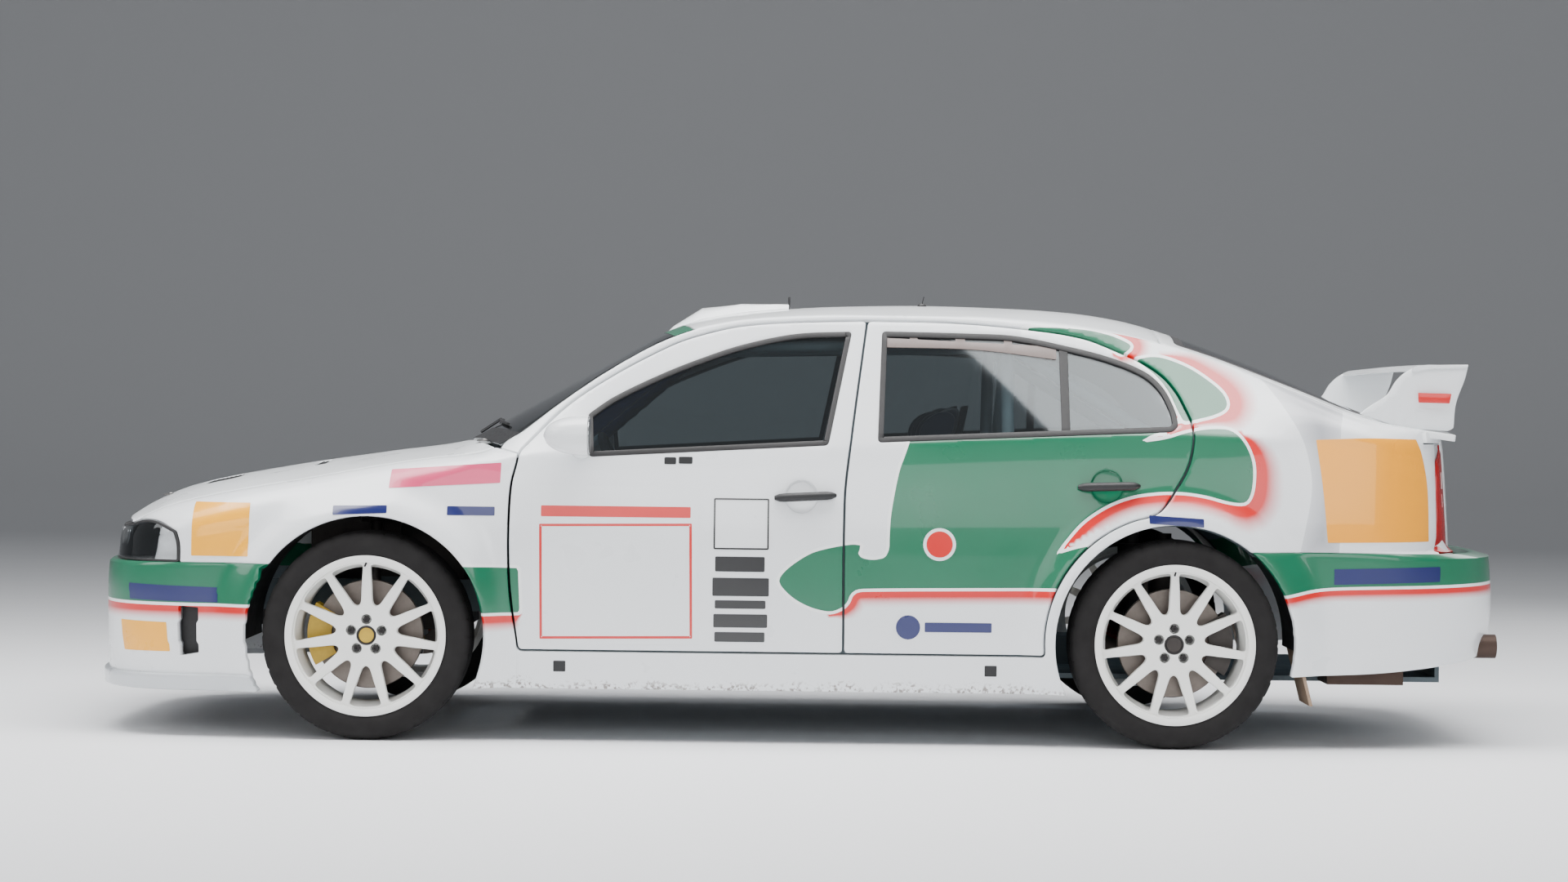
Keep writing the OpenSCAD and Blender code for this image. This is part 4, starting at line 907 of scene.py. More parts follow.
def add_door(which, flip_name, flip):
    outline, window, shapes = DOORS[which]
    body = f"{flip_name}_{which}_door"
    a, b, hollow = HANDLES[which]
    hole = circle(*hollow, 50)
    part = panel([grown(outline, -GAP), window, hole], side, 18)
    make(f"{body}_skin", on(part[:2], flip), LIVERY, body,
         [f"{body}"], fields(part[2], shapes))
    card = panel([door_card(outline)], side, 66, step=60, edge=0, lift=-17.5)
    make(f"{body}_card", on(card[:2], flip), CARPET, body)
    dish = panel([circle(*hollow, 49.5)], bowl(*hollow, 50, 13), 2, step=7, edge=0)
    make(f"{body}_handle_recess", on(dish[:2], flip), LIVERY, body,
         attributes=fields(dish[2], shapes))
    t = np.linspace(0, 1, 14)
    xs, zs = a[0] + (b[0] - a[0]) * t, a[1] + (b[1] - a[1]) * t
    reach = np.where((t > 0.12) & (t < 0.95), 22, 14) + 4 * np.sin(t * math.pi)
    bar = sweep(np.column_stack([xs, side_y(xs, zs) + reach - 4, zs]),
                15.5 * np.clip(1 - (2 * t - 1) ** 12, 0.45, 1), 14, scale=(1, 0.9))
    ends = join(sweep([(a[0] + 14, float(side_y(*a)) - 1, a[1] + 1), (a[0] + 14, float(side_y(*a)) + 15,
            a[1] + 1)],
                      10), sweep([(b[0] - 20, float(side_y(*b)) - 1, b[1] - 1),
                                  (b[0] - 20, float(side_y(*b)) + 15, b[1] - 1)], 10))
    make(f"{body}_handle", on(join(bar, ends), flip), BLACK, body)
    inner = grown(window, -15 if which == "front" else -16)
    rubber = panel([grown(window, 1.5), inner], side, 8, step=20, edge=2.5, lift=2.0)
    make(f"{body}_window_rubber", on(rubber[:2], flip), RUBBER, body)
    pane = panel([grown(window, -6)], side, 4, step=40, edge=0, lift=-5)
    node = f"{flip_name}_{which}_glass"
    make(f"{node}_pane", on(pane[:2], flip), GLASS, body, [node])


def add_sides():
    for name, flip in SIDES:
        part = panel([FRAME_OUTER, grown(BOTH_DOORS, GAP)], side, 24)
        make(f"{name}_side_skin", on(part[:2], flip), LIVERY, "chassis",
             [f"{name}_side_frame"],
             fields(part[2], [BIG_GREEN, PILLAR_GREEN, ROOF_GREEN], lip=True, grey=True))
        inner = panel([grown(FRAME_OUTER, -3), grown(FRONT_DOOR, -28), grown(REAR_DOOR, -28)], side, 58,
                      step=60, edge=0, lift=-24.5)
        make(f"{name}_side_inner", on(inner[:2], flip), CABIN, "chassis")
        wing = panel([WING], side, 14)
        make(f"{name}_wing_skin", on(wing[:2], flip), LIVERY, "chassis", ["front_wings"],
             fields(wing[2], [WING_GREEN]))
        for which in DOORS:
            add_door(which, name, flip)


GLASS_HALF = 760


def header_x(y):
    return -395 + 75 * (y / GLASS_HALF) ** 2


def cowl_x(y):
    return -1100 + 160 * (y / GLASS_HALF) ** 2


def hatch_x(y):
    return 1150 - 20 * (y / GLASS_HALF) ** 2


def nose_edge(y):
    return NOSE_START - (NOSE_START + 2172) * (1 - min(1, abs(y) / 828) ** SQUARENESS) ** (1 / SQUARENESS)


def top_outline(front, back, inset, lengths):
    """Outline of a top panel: front and back lines, and the edges between them."""
    def edge_y(x):
        return float(RAIL_Y(x)) - inset

    def meet(line):
        y = 600.0
        for _ in range(30):
            y = edge_y(float(line(y)))
        return y
    yf, yb = meet(front), meet(back)
    x0, x1 = float(front(yf)), float(back(yb))
    xs = np.linspace(x0, x1, lengths)[1:-1]
    pts = [(float(front(y)), y) for y in np.linspace(-yf, yf, 21)]
    pts += [(x, edge_y(x)) for x in xs]
    pts += [(float(back(y)), y) for y in np.linspace(yb, -yb, 21)]
    pts += [(x, -edge_y(x)) for x in xs[::-1]]
    return loop(pts, radius=6, sharp=30, step=11)


REAR_WINDOW = loop([(1215 - 18 * u * u, 545 * u) for u in np.linspace(-1, 1, 9)]
                   + [(1810 - 20 * u * u, 575 * u) for u in np.linspace(1, -1, 9)], radius=30, step=11)


def slot(x, y, length, width, slant=0.0):
    pts = [(x - length / 2, y - width / 2), (x + length / 2, y - width / 2 + slant),
           (x + length / 2, y + width / 2 + slant), (x - length / 2, y + width / 2)]
    return loop(pts, radius=min(length, width) * 0.4, sharp=30, step=8)


def add_top():
    roof = panel([top_outline(lambda y: header_x(y) + 3, lambda y: hatch_x(y) - 1, 1.0, 40)], top, 20,
            step=22)
    make("roof_skin", roof[:2], WHITE_PAINT, "chassis", ["roof_panel"])
    back = lambda y: min(-964.0, float(cowl_x(y)) - 6)
    outlets = [slot(-1885, s * 260, 120, 200) for s in (-1, 1)] + [slot(-1560, s * 300, 40,
            190) for s in (-1, 1)]
    bonnet = panel([top_outline(nose_edge, back, 5, 40)] + outlets, top, 18, step=16)
    make("bonnet_skin", bonnet[:2], WHITE_PAINT, "bonnet", ["bonnet"])
    for k, line in enumerate(outlets):
        mesh = panel([grown(line, 4)], top, 22, step=25, edge=0, lift=-16)
        make(f"bonnet_outlet_{k}", mesh[:2], BLACK, "bonnet")
        lo, hi = line[:, :2].min(0), line[:, :2].max(0)
        bars = [sweep([(x, lo[1] + 4, float(top_z(x, lo[1])) - 4), (x, (lo[1] + hi[1]) / 2,
                       float(top_z(x, (lo[1] + hi[1]) / 2)) - 4), (x, hi[1] - 4, float(top_z(x,
                               hi[1])) - 4)], 3, 6)
                for x in np.arange(lo[0] + 12, hi[0] - 6, 14)]
        make(f"bonnet_outlet_bars_{k}", join(*bars), BLACK, "bonnet")
    screen = panel([top_outline(lambda y: cowl_x(y) + 10, lambda y: header_x(y) - 1, 3, 24)], top, 6,
                   step=40, edge=1.5)
    make("windscreen_pane", screen[:2], DARK_GLASS, "chassis", ["windscreen"])
    strip = panel([top_outline(lambda y: header_x(y) - 62, lambda y: header_x(y) - 2, 6, 4)], top, 0.6,
                  step=30, edge=0, lift=0.9)
    make("windscreen_sun_strip", strip[:2], GREEN_PAINT, "chassis")
    cowl = panel([top_outline(lambda y: cowl_x(y) + 11, lambda y: cowl_x(y) + 74, 8, 4)], top, 2,
                 step=20, edge=0, lift=1.2)
    make("windscreen_cowl", cowl[:2], BLACK, "chassis")
    hatch = panel([top_outline(lambda y: hatch_x(y) + 5, lambda y: 2068 + 0 * y, 5, 30), REAR_WINDOW],
            top, 20,
                  step=16)
    make("tailgate_skin", hatch[:2], WHITE_PAINT, "tailgate", ["tailgate"])
    pane = panel([grown(REAR_WINDOW, -2)], top, 6, step=50, edge=1)
    make("rear_window_pane", pane[:2], DARK_GLASS, "tailgate", ["rear_window"])
    frit = panel([grown(REAR_WINDOW, 5), grown(REAR_WINDOW, -26)], top, 1, step=30, edge=0, lift=1)
    make("rear_window_frit", frit[:2], RUBBER, "tailgate")


def add_ends():
    nose = Ring(-1, 165, BUMPER_TOP)
    outer = loop([(-1000, 165), (0, 165), (1000, 165), (1000, 355), (1000, BUMPER_TOP), (0, BUMPER_TOP),
                  (-1000, BUMPER_TOP), (-1000, 355)], radius=6, step=7)
    middle = loop([(-nose.place(230, y=320), 235), (nose.place(230, y=320), 235), (nose.place(350,
            y=330), 352),
                   (-nose.place(350, y=330), 352)], radius=14, step=7)
    vents = []
    for s in (-1, 1):
        pts = [(s * nose.place(z, x=x), z) for x, z in ((-1931, 252), (-1872, 262), (-1874, 404),
                (-1931, 408))]
        vents.append(loop(pts, radius=3, step=4))
    part = panel([outer, middle] + vents, nose, 22, step=11, edge=3)
    world = nose(part[2])
    make("front_bumper_skin", part[:2], LIVERY, "chassis", ["front_bumper"],
         fields(world[:, [0, 2]], [NOSE_GREEN]))
    lip_ring = Ring(-1, 144, 196, grow=15)
    lip = panel([loop([(-1000, 145), (1000, 145), (1000, 195), (-1000, 195)], radius=8, step=9)],
            lip_ring, 30,
                step=14, edge=6)
    make("splitter_lip", lip[:2], GREY_LIP, "chassis")
    pockets = [panel([grown(line, 3)], nose, 60, step=20, edge=0, lift=-40) for line in [middle] + vents]
    make("front_bumper_intakes", join(*[p[:2] for p in pockets]), BLACK, "chassis")
    bars = []
    for z in np.arange(255, 345, 22):
        f = np.linspace(-nose.place(z, y=325), nose.place(z, y=325), 30)
        p = nose(np.column_stack([f, np.full(30, z)]))
        p[:, 0] += 14
        bars.append(sweep(p, 4, 6))
    make("front_bumper_mesh_bars", join(*bars), BLACK, "chassis")
    face = Ring(-1, 547, 690, arch=False, end=-1500)
    lamp_points = [(547, None, 300), (547, -1938, None), (604, -1940, None), (640, -1951, None),
                   (667, -2012, None), (671, -2060, None), (660, -2105, None), (652, None, 560),
                   (654, None, 300)]
    lamp = np.array([(face.place(z, x=x, y=y), z) for z, x, y in lamp_points])
    grille = loop([(-face.place(547, y=296), 547), (face.place(547, y=296), 547), (face.place(652,
            y=296), 652),
                   (-face.place(652, y=296), 652)], radius=4, step=10)
    back = panel([grille], face, 30, step=20, edge=0, lift=-16)
    slats = []
    for z in (566, 584, 602, 620, 638):
        f = np.linspace(-face.place(z, y=290), face.place(z, y=290), 40)
        p = face(np.column_stack([f, np.full(40, z)]))
        p[:, 0] += 8
        slats.append(sweep(p, 5, 8, scale=(1.6, 0.8)))
    make("grille_slats", join(back[:2], *slats), BLACK, "chassis", ["grille"])
    for name, flip in SIDES:
        line = loop(lamp, radius=8, step=8)
        lens = panel([line], face, 4, step=14, edge=2, lift=0)
        make(f"{name}_headlight_lens", on(lens[:2], flip), LENS, "chassis",
             ["headlights"] if flip else [])
        tray = panel([grown(line, 1)], face, 20, step=20, edge=0, lift=-58)
        make(f"{name}_headlight_tray", on(tray[:2], flip), TRAY, "chassis")
        rim = panel([grown(line, 2), grown(line, -5)], face, 12, step=20, edge=1, lift=0.6)
        make(f"{name}_headlight_seal", on(rim[:2], flip), RUBBER, "chassis")
        for k, (y, z, r) in enumerate(((370, 602, 36), (470, 604, 40), (575, 608, 38))):
            spot = face(np.array([[face.place(z, y=y), z]]))[0]
            shell = [(r, 22), (r * 0.97, 26), (r * 0.8, 8), (r * 0.45, -8), (3, -14), (3, -20),
                    (r * 0.5, -16),
                     (r * 0.86, 2)]
            facing = Matrix.Rotation(math.radians(90 - 12 * k), 3, "Z")
            inward = spot + np.array([34, -4 * k, 0])
            make(f"{name}_headlight_bowl_{k}", on(moved(revolve(shell, 32), inward, facing), flip), CHROME,
                 "chassis")
    tail = Ring(1, 225, REAR_BUMPER_TOP)
    foot = [(0, 290), (250, 290), (420, 286), (560, 268), (780, 240), (1000, 228)]
    line = [(-f, z) for f, z in foot[::-1]] + foot[1:]
    outer = loop(line + [(1000, 420), (1000, REAR_BUMPER_TOP), (0, REAR_BUMPER_TOP), (-1000,
            REAR_BUMPER_TOP),
                         (-1000, 420)], radius=6, step=8)
    part = panel([outer], tail, 22, step=12, edge=3)
    world = tail(part[2])
    make("rear_bumper_skin", part[:2], LIVERY, "chassis", ["rear_bumper"],
         fields(world[:, [0, 2]], [TAIL_GREEN]))
    rear = Ring(1, 618, 1004, arch=False, end=1400)
    gate = loop([(s * rear.place(z, y=588), z) for s, z in ((-1, 627), (1, 627), (1, 760), (1, 1000),
            (-1, 1000),
                                                            (-1, 760))], radius=8, step=10)
    part = panel([gate], rear, 22, step=20, edge=3)
    make("tailgate_rear_face", part[:2], WHITE_PAINT, "tailgate")
    pocket = loop([(s * rear.place(z, y=260), z) for s, z in ((-1, 690), (1, 690), (1, 800), (-1, 800))], 8)
    plate = panel([pocket], rear, 1.5, step=30, edge=0, lift=1.2)
    make("tailgate_blank_plate", plate[:2], WHITE_PAINT, "tailgate")
    for name, flip in SIDES:
        corner_line = [(rear.place(962, y=592), 962), (rear.place(962, x=1970), 962),
                       (rear.place(996, x=1970), 996), (rear.place(990, x=2030), 986),
                       (rear.place(984, y=660), 984), (rear.place(996, y=592), 996)]
        part = panel([loop(corner_line, radius=3, step=8)], rear, 14, step=12, edge=2)
        make(f"{name}_deck_corner", on(part[:2], flip), WHITE_PAINT, "tailgate")
        line = loop([(rear.place(620, y=596), 620), (rear.place(620, x=2015), 620), (rear.place(700,
                x=2014), 700),
                     (rear.place(850, x=2014), 850), (rear.place(905, x=2018), 905), (rear.place(956,
                             x=2044), 956),
                     (rear.place(956, y=596), 956)], radius=7, step=8)
        lamp = panel([line], rear, 8, step=14, edge=3)
        make(f"{name}_tail_lamp", on(lamp[:2], flip), RED_LENS, "chassis",
             ["tail_lights"] if flip else [])
        house = panel([grown(line, 1)], rear, 60, step=40, edge=0, lift=-10)
        make(f"{name}_tail_lamp_housing", on(house[:2], flip), WHITE_PAINT, "chassis")
        spots = []
        for z in (842, 778):
            f = (rear.place(z, x=2044) + rear.place(z, y=640)) / 2
            spots.append(panel([loop([(rear.place(z, x=2040), z - 27), (rear.place(z, y=620), z - 27),
                                      (rear.place(z, y=620), z + 27), (rear.place(z, x=2040), z + 27)],
                                     radius=12, step=6)], rear, 4, step=12, edge=2, lift=1.4)[:2])
        make(f"{name}_tail_lamp_clear", on(join(*spots), flip), FROSTED, "chassis")


# ---------- wheels ----------
SPOKES = 11
FACE = 75


def wheel_face_y(r):
    return FACE + 3 + 9 * ease((r - 70) / 140)


def wheel_surface(p):
    r = np.hypot(p[:, 0], p[:, 1])
    return np.column_stack([p[:, 0], wheel_face_y(r), p[:, 1]])


def wheel_parts():
    """Face with its spokes, barrel, bolt cups, nuts and centre cap of a wheel facing +Y."""
    outer = circle(0, 0, 229, 150)
    holes = []
    pitch = 2 * math.pi / SPOKES
    for i in range(SPOKES):
        mid = math.pi / 2 + (i + 0.5) * pitch
        pts = []
        for r in (104, 150, 190, 220):
            half = pitch / 2 - (20 - 8 * (r - 74) / 142) / r
            pts.append((r, half))
        edge = [(r * math.cos(mid - h), r * math.sin(mid - h)) for r, h in pts]
        edge += [(222 * math.cos(mid + t), 222 * math.sin(mid + t))
                 for t in np.linspace(-pts[-1][1] * 0.7, pts[-1][1] * 0.7, 5)]
        edge += [(r * math.cos(mid + h), r * math.sin(mid + h)) for r, h in pts[::-1]]
        edge += [(93 * math.cos(mid), 93 * math.sin(mid))]
        holes.append(loop(edge, radius=9, sharp=40, step=7))
    bolts = [(50 * math.cos(a), 50 * math.sin(a)) for a in
             [math.pi / 2 + k * 2 * math.pi / 5 for k in range(5)]]
    holes += [circle(x, z, 16.5, 24) for x, z in bolts]
    holes.append(circle(0, 0, 30, 40))
    face = panel([outer] + holes, wheel_surface, 26, step=11, edge=4, back_step=40, centre_way=(0,
            -5000, 0))
    barrel = revolve([(226, 86), (228, 104), (233, 107), (247, 107), (250, 105), (250, 98), (240, 93),
                      (234, 80), (233, 64), (222, 44), (222, -60), (233, -76), (234, -92), (250, -97),
                      (250, -105), (229, -104), (226, -78), (212, -60), (212, 40), (224, 62)], 128)
    studs, cups = [], []
    for x, z in bolts:
        cup = revolve([(16.5, 4), (16.5, 0), (12, -14), (8, -14), (8, -18), (18.5, -18), (18.5, 3)], 24)
        cups.append(moved(cup, (x, FACE - 1, z)))
        stud = revolve([(5, 2), (10, 2), (11.5, -1), (11.5, -16), (0.5, -16), (0.5, -6), (5, -6)], 6)
        studs.append(moved(stud, (x, FACE - 1, z)))
    cap = revolve([(29.5, 2), (31, -1), (31, -24), (24, -24), (23, -8), (10, -10), (0.5, -11), (0.5, -8),
                   (9, -7), (22, -4), (25, 1)], 48)
    studs.append(moved(cap, (0, FACE, 0)))
    return join(face[:2], barrel, *cups), join(*studs)


def disc_part():
    ring = revolve([(92, 4), (168, 4), (170, 2), (170, -21), (168, -23), (92, -23)], 96)
    bell = revolve([(34, 34), (78, 34), (84, 28), (92, 5), (92, -20), (84, -20), (78, 20), (34, 22)], 64)
    return ring, bell


TREAD_STEPS = 288


def tyre_part():
    """Tyre with shoulder cuts and grooves round the tread."""
    right = [(238, 90), (246, 99), (252, 103), (258, 107), (268, 109), (280, 109.5), (292, 108.5), (302,
            106),
             (310, 102), (316, 97), (320, 91), (322.5, 84), (323.5, 76), (324, 66), (324.3, 58), (319, 57),
             (319, 50), (324.6, 49), (324.8, 38), (325, 26), (325, 20), (319, 19), (319, 12), (325, 11),
             (325, 0)]
    line = right + [(r, -y) for r, y in right[-2::-1]] + [(236, -70), (234, 0), (236, 70)]
    p = np.array(line, float)
    n = len(p)
    a = np.linspace(0, 2 * math.pi, TREAD_STEPS, endpoint=False)
    verts = []
    shoulder = (np.abs(p[:, 1]) > 62) & (p[:, 0] > 303)
    for i, t in enumerate(a):
        r = p[:, 0].copy()
        if i % 8 == 0:
            r = np.where(shoulder, r - 3.2, r)
        verts.append(np.column_stack([r * math.cos(t), p[:, 1], r * math.sin(t)]))
    faces = []
    for i in range(TREAD_STEPS):
        j = (i + 1) % TREAD_STEPS
        faces += [(i * n + k, j * n + k, j * n + (k + 1) % n, i * n + (k + 1) % n) for k in range(n)]
    tyre = (np.vstack(verts), faces)
    scale = TYRE_RADIUS / 325
    return tyre[0] * [scale, 1, scale], tyre[1]


def add_wheels():
    face, studs = wheel_parts()
    ring, bell = disc_part()
    tyre = tyre_part()
    for name, flip in SIDES:
        for end, axle in (("front", FRONT_AXLE), ("rear", REAR_AXLE)):
            body = f"{name}_{end}_wheel"
            turn = Matrix.Rotation(math.pi if flip else 0, 3, "Z")
            where = (axle, -HALF_TRACK if flip else HALF_TRACK, TYRE_RADIUS)
            make(f"{body}_rim", moved(face, where, turn), RIM, body, [f"{name}_{end}_rim"])
            make(f"{body}_nuts", moved(studs, where, turn), STEEL_DARK, body)
            make(f"{body}_disc", moved(ring, where, turn), DISC, body)
            make(f"{body}_bell", moved(bell, where, turn), RED_BELL, body)
            make(f"{body}_tyre", moved(tyre, where, turn), TYRE, body,
                    [f"{name}_{end}_tyre"])
            valve = sweep([(0, 96, 226), (2, 100, 221), (4, 104, 216)], 3.2, 8)
            make(f"{body}_valve", moved(valve, where, turn), BLACK, body)


# ---------- cabin ----------
FLOOR = 208


def add_cabin():
    hoop_x = 660
    tube = 21
    def pipe(points, radius=tube):
        return sweep(points, radius, 14)

    def bend(a, b, c, reach=70, steps=7):
        a, b, c = (np.array(v, float) for v in (a, b, c))
        p, q = b + (a - b) / np.linalg.norm(a - b) * reach, b + (c - b) / np.linalg.norm(c - b) * reach
        t = np.linspace(0, 1, steps)[:, None]
        return list((1 - t) ** 2 * p + 2 * t * (1 - t) * b + t ** 2 * q)
    pipes = []
    corners = [(hoop_x, 680, FLOOR + 22), (hoop_x, 665, 700), (hoop_x, 500, 1268), (hoop_x, -500, 1268),
               (hoop_x, -665, 700), (hoop_x, -680, FLOOR + 22)]
    path = [corners[0]]
    for k in range(1, 5):
        path += bend(corners[k - 1], corners[k], corners[k + 1])
    pipes.append(pipe(path + [corners[-1]]))
    for s in (-1, 1):
        leg = [(hoop_x, s * 500, 1268), (-360, s * 515, 1243), (-780, s * 625, 880), (-800, s * 650, 330)]
        path = [leg[0]] + bend(leg[0], leg[1], leg[2]) + bend(leg[1], leg[2], leg[3], 50) + [leg[3]]
        pipes.append(pipe(path))
        stay = [(hoop_x, s * 490, 1262), (1480, s * 440, 760), (1490, s * 430, 640)]
        pipes.append(pipe([stay[0]] + bend(*stay, 40) + [stay[2]]))
        pipes.append(pipe([(-790, s * 640, 560), (hoop_x, s * 680, 330)]))
        pipes.append(pipe([(-790, s * 640, 330), (hoop_x, s * 680, 600)]))
    pipes.append(pipe([(-360, -515, 1243), (-360, 515, 1243)]))
    pipes.append(pipe([(hoop_x, -500, 1268), (hoop_x, 680, 420)]))
    pipes.append(pipe([(hoop_x, -672, 620), (hoop_x, 672, 620)]))
    make("roll_cage_tubes", join(*pipes), CAGE, "chassis", ["roll_cage"])
    pads = []
    for s in (-1, 1):
        a, b = np.array((-400, s * 522, 1212.0)), np.array((-700, s * 603, 955.0))
        steps = np.linspace(0, 1, 16)
        swell = 33 + 1.6 * np.sin(steps * 40)
        pads.append(sweep([a + (b - a) * t for t in steps], swell, 14))
    make("cage_padding", join(*pads), PAD, "chassis")
    board = [box((-934, -585, 640), (-724, 585, 840), 30), box((-880, -560, 835), (-740, -180, 884), 16)]
    make("dashboard_moulding", join(*board), CARPET, "chassis", ["dashboard"])
    for y in (-350, 350):
        side_name = "left" if y < 0 else "right"
        add_seat(side_name, y)


def shell_form(rows, count=26):
    """A lofted cushion: each row is (centre x, y, z, half width, half depth, tilt)."""
    rings = []
    for x, y, z, wide, deep, tilt in rows:
        ring = []
        for k in range(count):
            a = 2 * math.pi * k / count
            u = math.copysign(abs(math.cos(a)) ** 0.55, math.cos(a)) * wide
            v = math.copysign(abs(math.sin(a)) ** 0.75, math.sin(a)) * deep
            ring.append((x + v * math.cos(tilt), y + u, z + v * math.sin(tilt)))
        rings.append(ring)
    return loft(rings)


def add_seat(name, y):
    """A bucket seat: shell, base cushion, back cushion with bolsters, and head wings."""
    def put(piece, part, material, rounds=2):
        obj = make(piece, part, material, "chassis", smooth=180)
        mod = obj.modifiers.new("round", "SUBSURF")
        mod.levels = mod.render_levels = rounds
        return obj
    back_x = lambda z: 380 + (z - 420) * math.tan(math.radians(12))
    base = shell_form([(60, y, 400, 150, 24, 1.57), (72, y, 404, 172, 44, 1.57), (180, y, 398, 184, 52,
            1.5),
                       (300, y, 386, 178, 52, 1.5), (352, y, 384, 160, 40, 1.5), (362, y, 384, 140, 22,
                               1.5)])
    rows = [(back_x(z) - 34, y, z, w, d, 0.2) for z, w, d in
            ((400, 120, 16), (412, 150, 34), (500, 168, 44), (640, 176, 46), (760, 178, 44), (860, 160, 40),
             (905, 134, 34), (920, 118, 18))]
    back = shell_form(rows)
    head = shell_form([(back_x(z) - 30, y, z, w, d, 0.2) for z, w, d in
                       ((928, 90, 14), (940, 112, 34), (1000, 122, 42), (1040, 112, 38), (1056, 90, 16))])
    cushions = put(f"{name}_seat_cushions", join(base, back, head), SEAT)
    bolsters = []
    for s in (-1, 1):
        bolsters.append(shell_form([(back_x(z) - 62, y + s * 205, z, 24, w, 0.2) for z, w in
                                    ((410, 20), (424, 62), (540, 88), (700, 84), (790, 80), (850, 50),
                                     (866, 18))]))
        bolsters.append(shell_form([(x, y + s * 205, 426, 24, w, 1.5) for x, w in
                                    ((74, 14), (90, 40), (180, 56), (300, 62), (368, 50), (384, 20))]))
        bolsters.append(shell_form([(back_x(z) - 62, y + s * 145, z, 18, w, 0.2) for z, w in
                                    ((915, 14), (930, 52), (1000, 62), (1030, 44), (1042, 12))]))
    put(f"{name}_seat_bolsters", join(*bolsters), SEAT)
    shell = shell_form([(back_x(z) + 18, y, z, w, 9, 0.2) for z, w in
                        ((330, 210), (420, 226), (600, 232), (780, 228), (880, 190), (940, 150), (1040,
                                140),
                         (1062, 110))])
    tray = box((40, y - 228, 318), (390, y + 228, 346), 10)
    rails = [box((70, y + s * 190 - 14, FLOOR + 1), (380, y + s * 190 + 14, 322), 4) for s in (-1, 1)]
    make(f"{name}_seat_shell", join(shell, tray, *rails), CARPET, "chassis",
         ["seats"] if y < 0 else [], smooth=50)
    belts = []
    for s in (-1, 1):
        p = [(back_x(z) - 84, y + s * (62 + (900 - z) * 0.02), z) for z in np.linspace(905, 470, 12)]
        belts.append(sweep(p, 22, 8, scale=(1, 0.12)))
    make(f"{name}_harness", join(*belts), STRAP, "chassis")


def add_steering():
    tilt = math.radians(22)
    axis = np.array([math.cos(tilt), 0, math.sin(tilt)])
    up = np.array([-math.sin(tilt), 0, math.cos(tilt)])
    y = np.array([0, 1.0, 0])
    top = np.array([-738 + 165 * math.cos(tilt), -350, 740 + 165 * math.sin(tilt)])
    ring = [top + 160 * (math.cos(a) * y + math.sin(a) * up) for a in
            np.linspace(0, 2 * math.pi, 48, endpoint=False)]
    rim = sweep(ring, 14, 12, closed=True)
    arms = [sweep([top - 18 * axis + 20 * (math.cos(a) * y + math.sin(a) * up),
                   top + 150 * (math.cos(a) * y + math.sin(a) * up)], 9, 8, scale=(1.6, 0.5))
            for a in np.radians((-90, 30, 150))]
    post = sweep([top - 165 * axis, top - 10 * axis], 16, 16)
    make("steering_wheel_rim", join(rim, *arms, post), SUEDE, "steering_wheel",
         ["steering_wheel"])


# ---------- trim ----------
def outline_plate(outline, y, thick, radius=4):
    """A flat plate in an XZ plane, centred on y, with rounded edges."""
    def surface(p):
        return np.column_stack([p[:, 0], np.full(len(p), y + thick / 2), p[:, 1]])
    return panel([loop(outline, radius=radius, step=6)], surface, thick, step=18, edge=min(4, thick * 0.4),
                 centre_way=(0, -1, 0))[:2]


def add_trim():
    wing_end = [(1770, 1052), (1800, 1075), (1855, 1112), (1885, 1158), (1925, 1192), (1975, 1206),
            (2112, 1211),
                (2101, 1165), (2074, 1087), (2067, 1010), (2050, 1000), (1900, 1010)]
    ends = [outline_plate(wing_end, s * 665, 14) for s in (-1, 1)]
    rows = [(1930, 1188), (1934, 1198), (1950, 1205), (1985, 1209), (2050, 1209), (2104, 1207), (2107,
            1203),
            (2060, 1200), (1990, 1197), (1950, 1190), (1936, 1186)]
    ys = np.linspace(-662, 662, 24)
    blade = loft([[(x, y, z + 3 * (1 - (y / 662) ** 2)) for x, z in rows] for y in ys])
    make("rear_wing_shape", join(blade, *ends), WHITE_PAINT, "tailgate", ["rear_wing"])
    block = []
    for s in (-1, 1):
        block.append(outline_plate([(1950, 1120), (2056, 1118), (2050, 1087), (1952, 1089)], s * 672.4,
                1.2, 2))
    make("rear_wing_red_blocks", join(*block), RED_PAINT, "tailgate")
    vent_rows = []
    for x, w, h in ((-440, 120, 2), (-425, 140, 12), (-330, 156, 40), (-200, 166, 56), (-90, 168, 60),
                    (-52, 168, 56), (-42, 166, 46)):
        z = float(top_z(x, 0))
        vent_rows.append([(x, w * u, min(z + h * (1 - abs(u) ** 6) * 0.95 + 3, 1394) - 2) for u in
                          np.linspace(-1, 1, 25)] + [(x, w * u, float(top_z(x, w * u)) - 4) for u in
                                                     np.linspace(1, -1, 25)])
    make("roof_vent_scoop", loft(vent_rows), WHITE_PAINT, "chassis", ["roof_vent"])
    make("roof_vent_mouth", box((-44, -146, float(top_z(-40, 0)) + 6), (-37, 146, float(top_z(-40,
            0)) + 40), 2),
         BLACK, "chassis")
    for name, flip in SIDES:
        add_mirror(name, flip)
        add_side_trim(name, flip)
    for s in (-1, 1):
        x = REAR_AXLE + ARCH + 17
        flap = [[0, 345], [10, 345], [10, 300], [52, 134], [42, 134], [0, 300]]
        hi = span("mudflaps")[1]
        width = 210
        ys = np.linspace(0, width, 9)
        inner = s * (hi[1] - width)
        part = loft([[(x + a, inner + s * y, b) for a, b in flap] for y in ys])
        make(f"{'right' if s > 0 else 'left'}_mudflap", part, FLAP, "chassis",
             ["mudflaps"] if s > 0 else [])


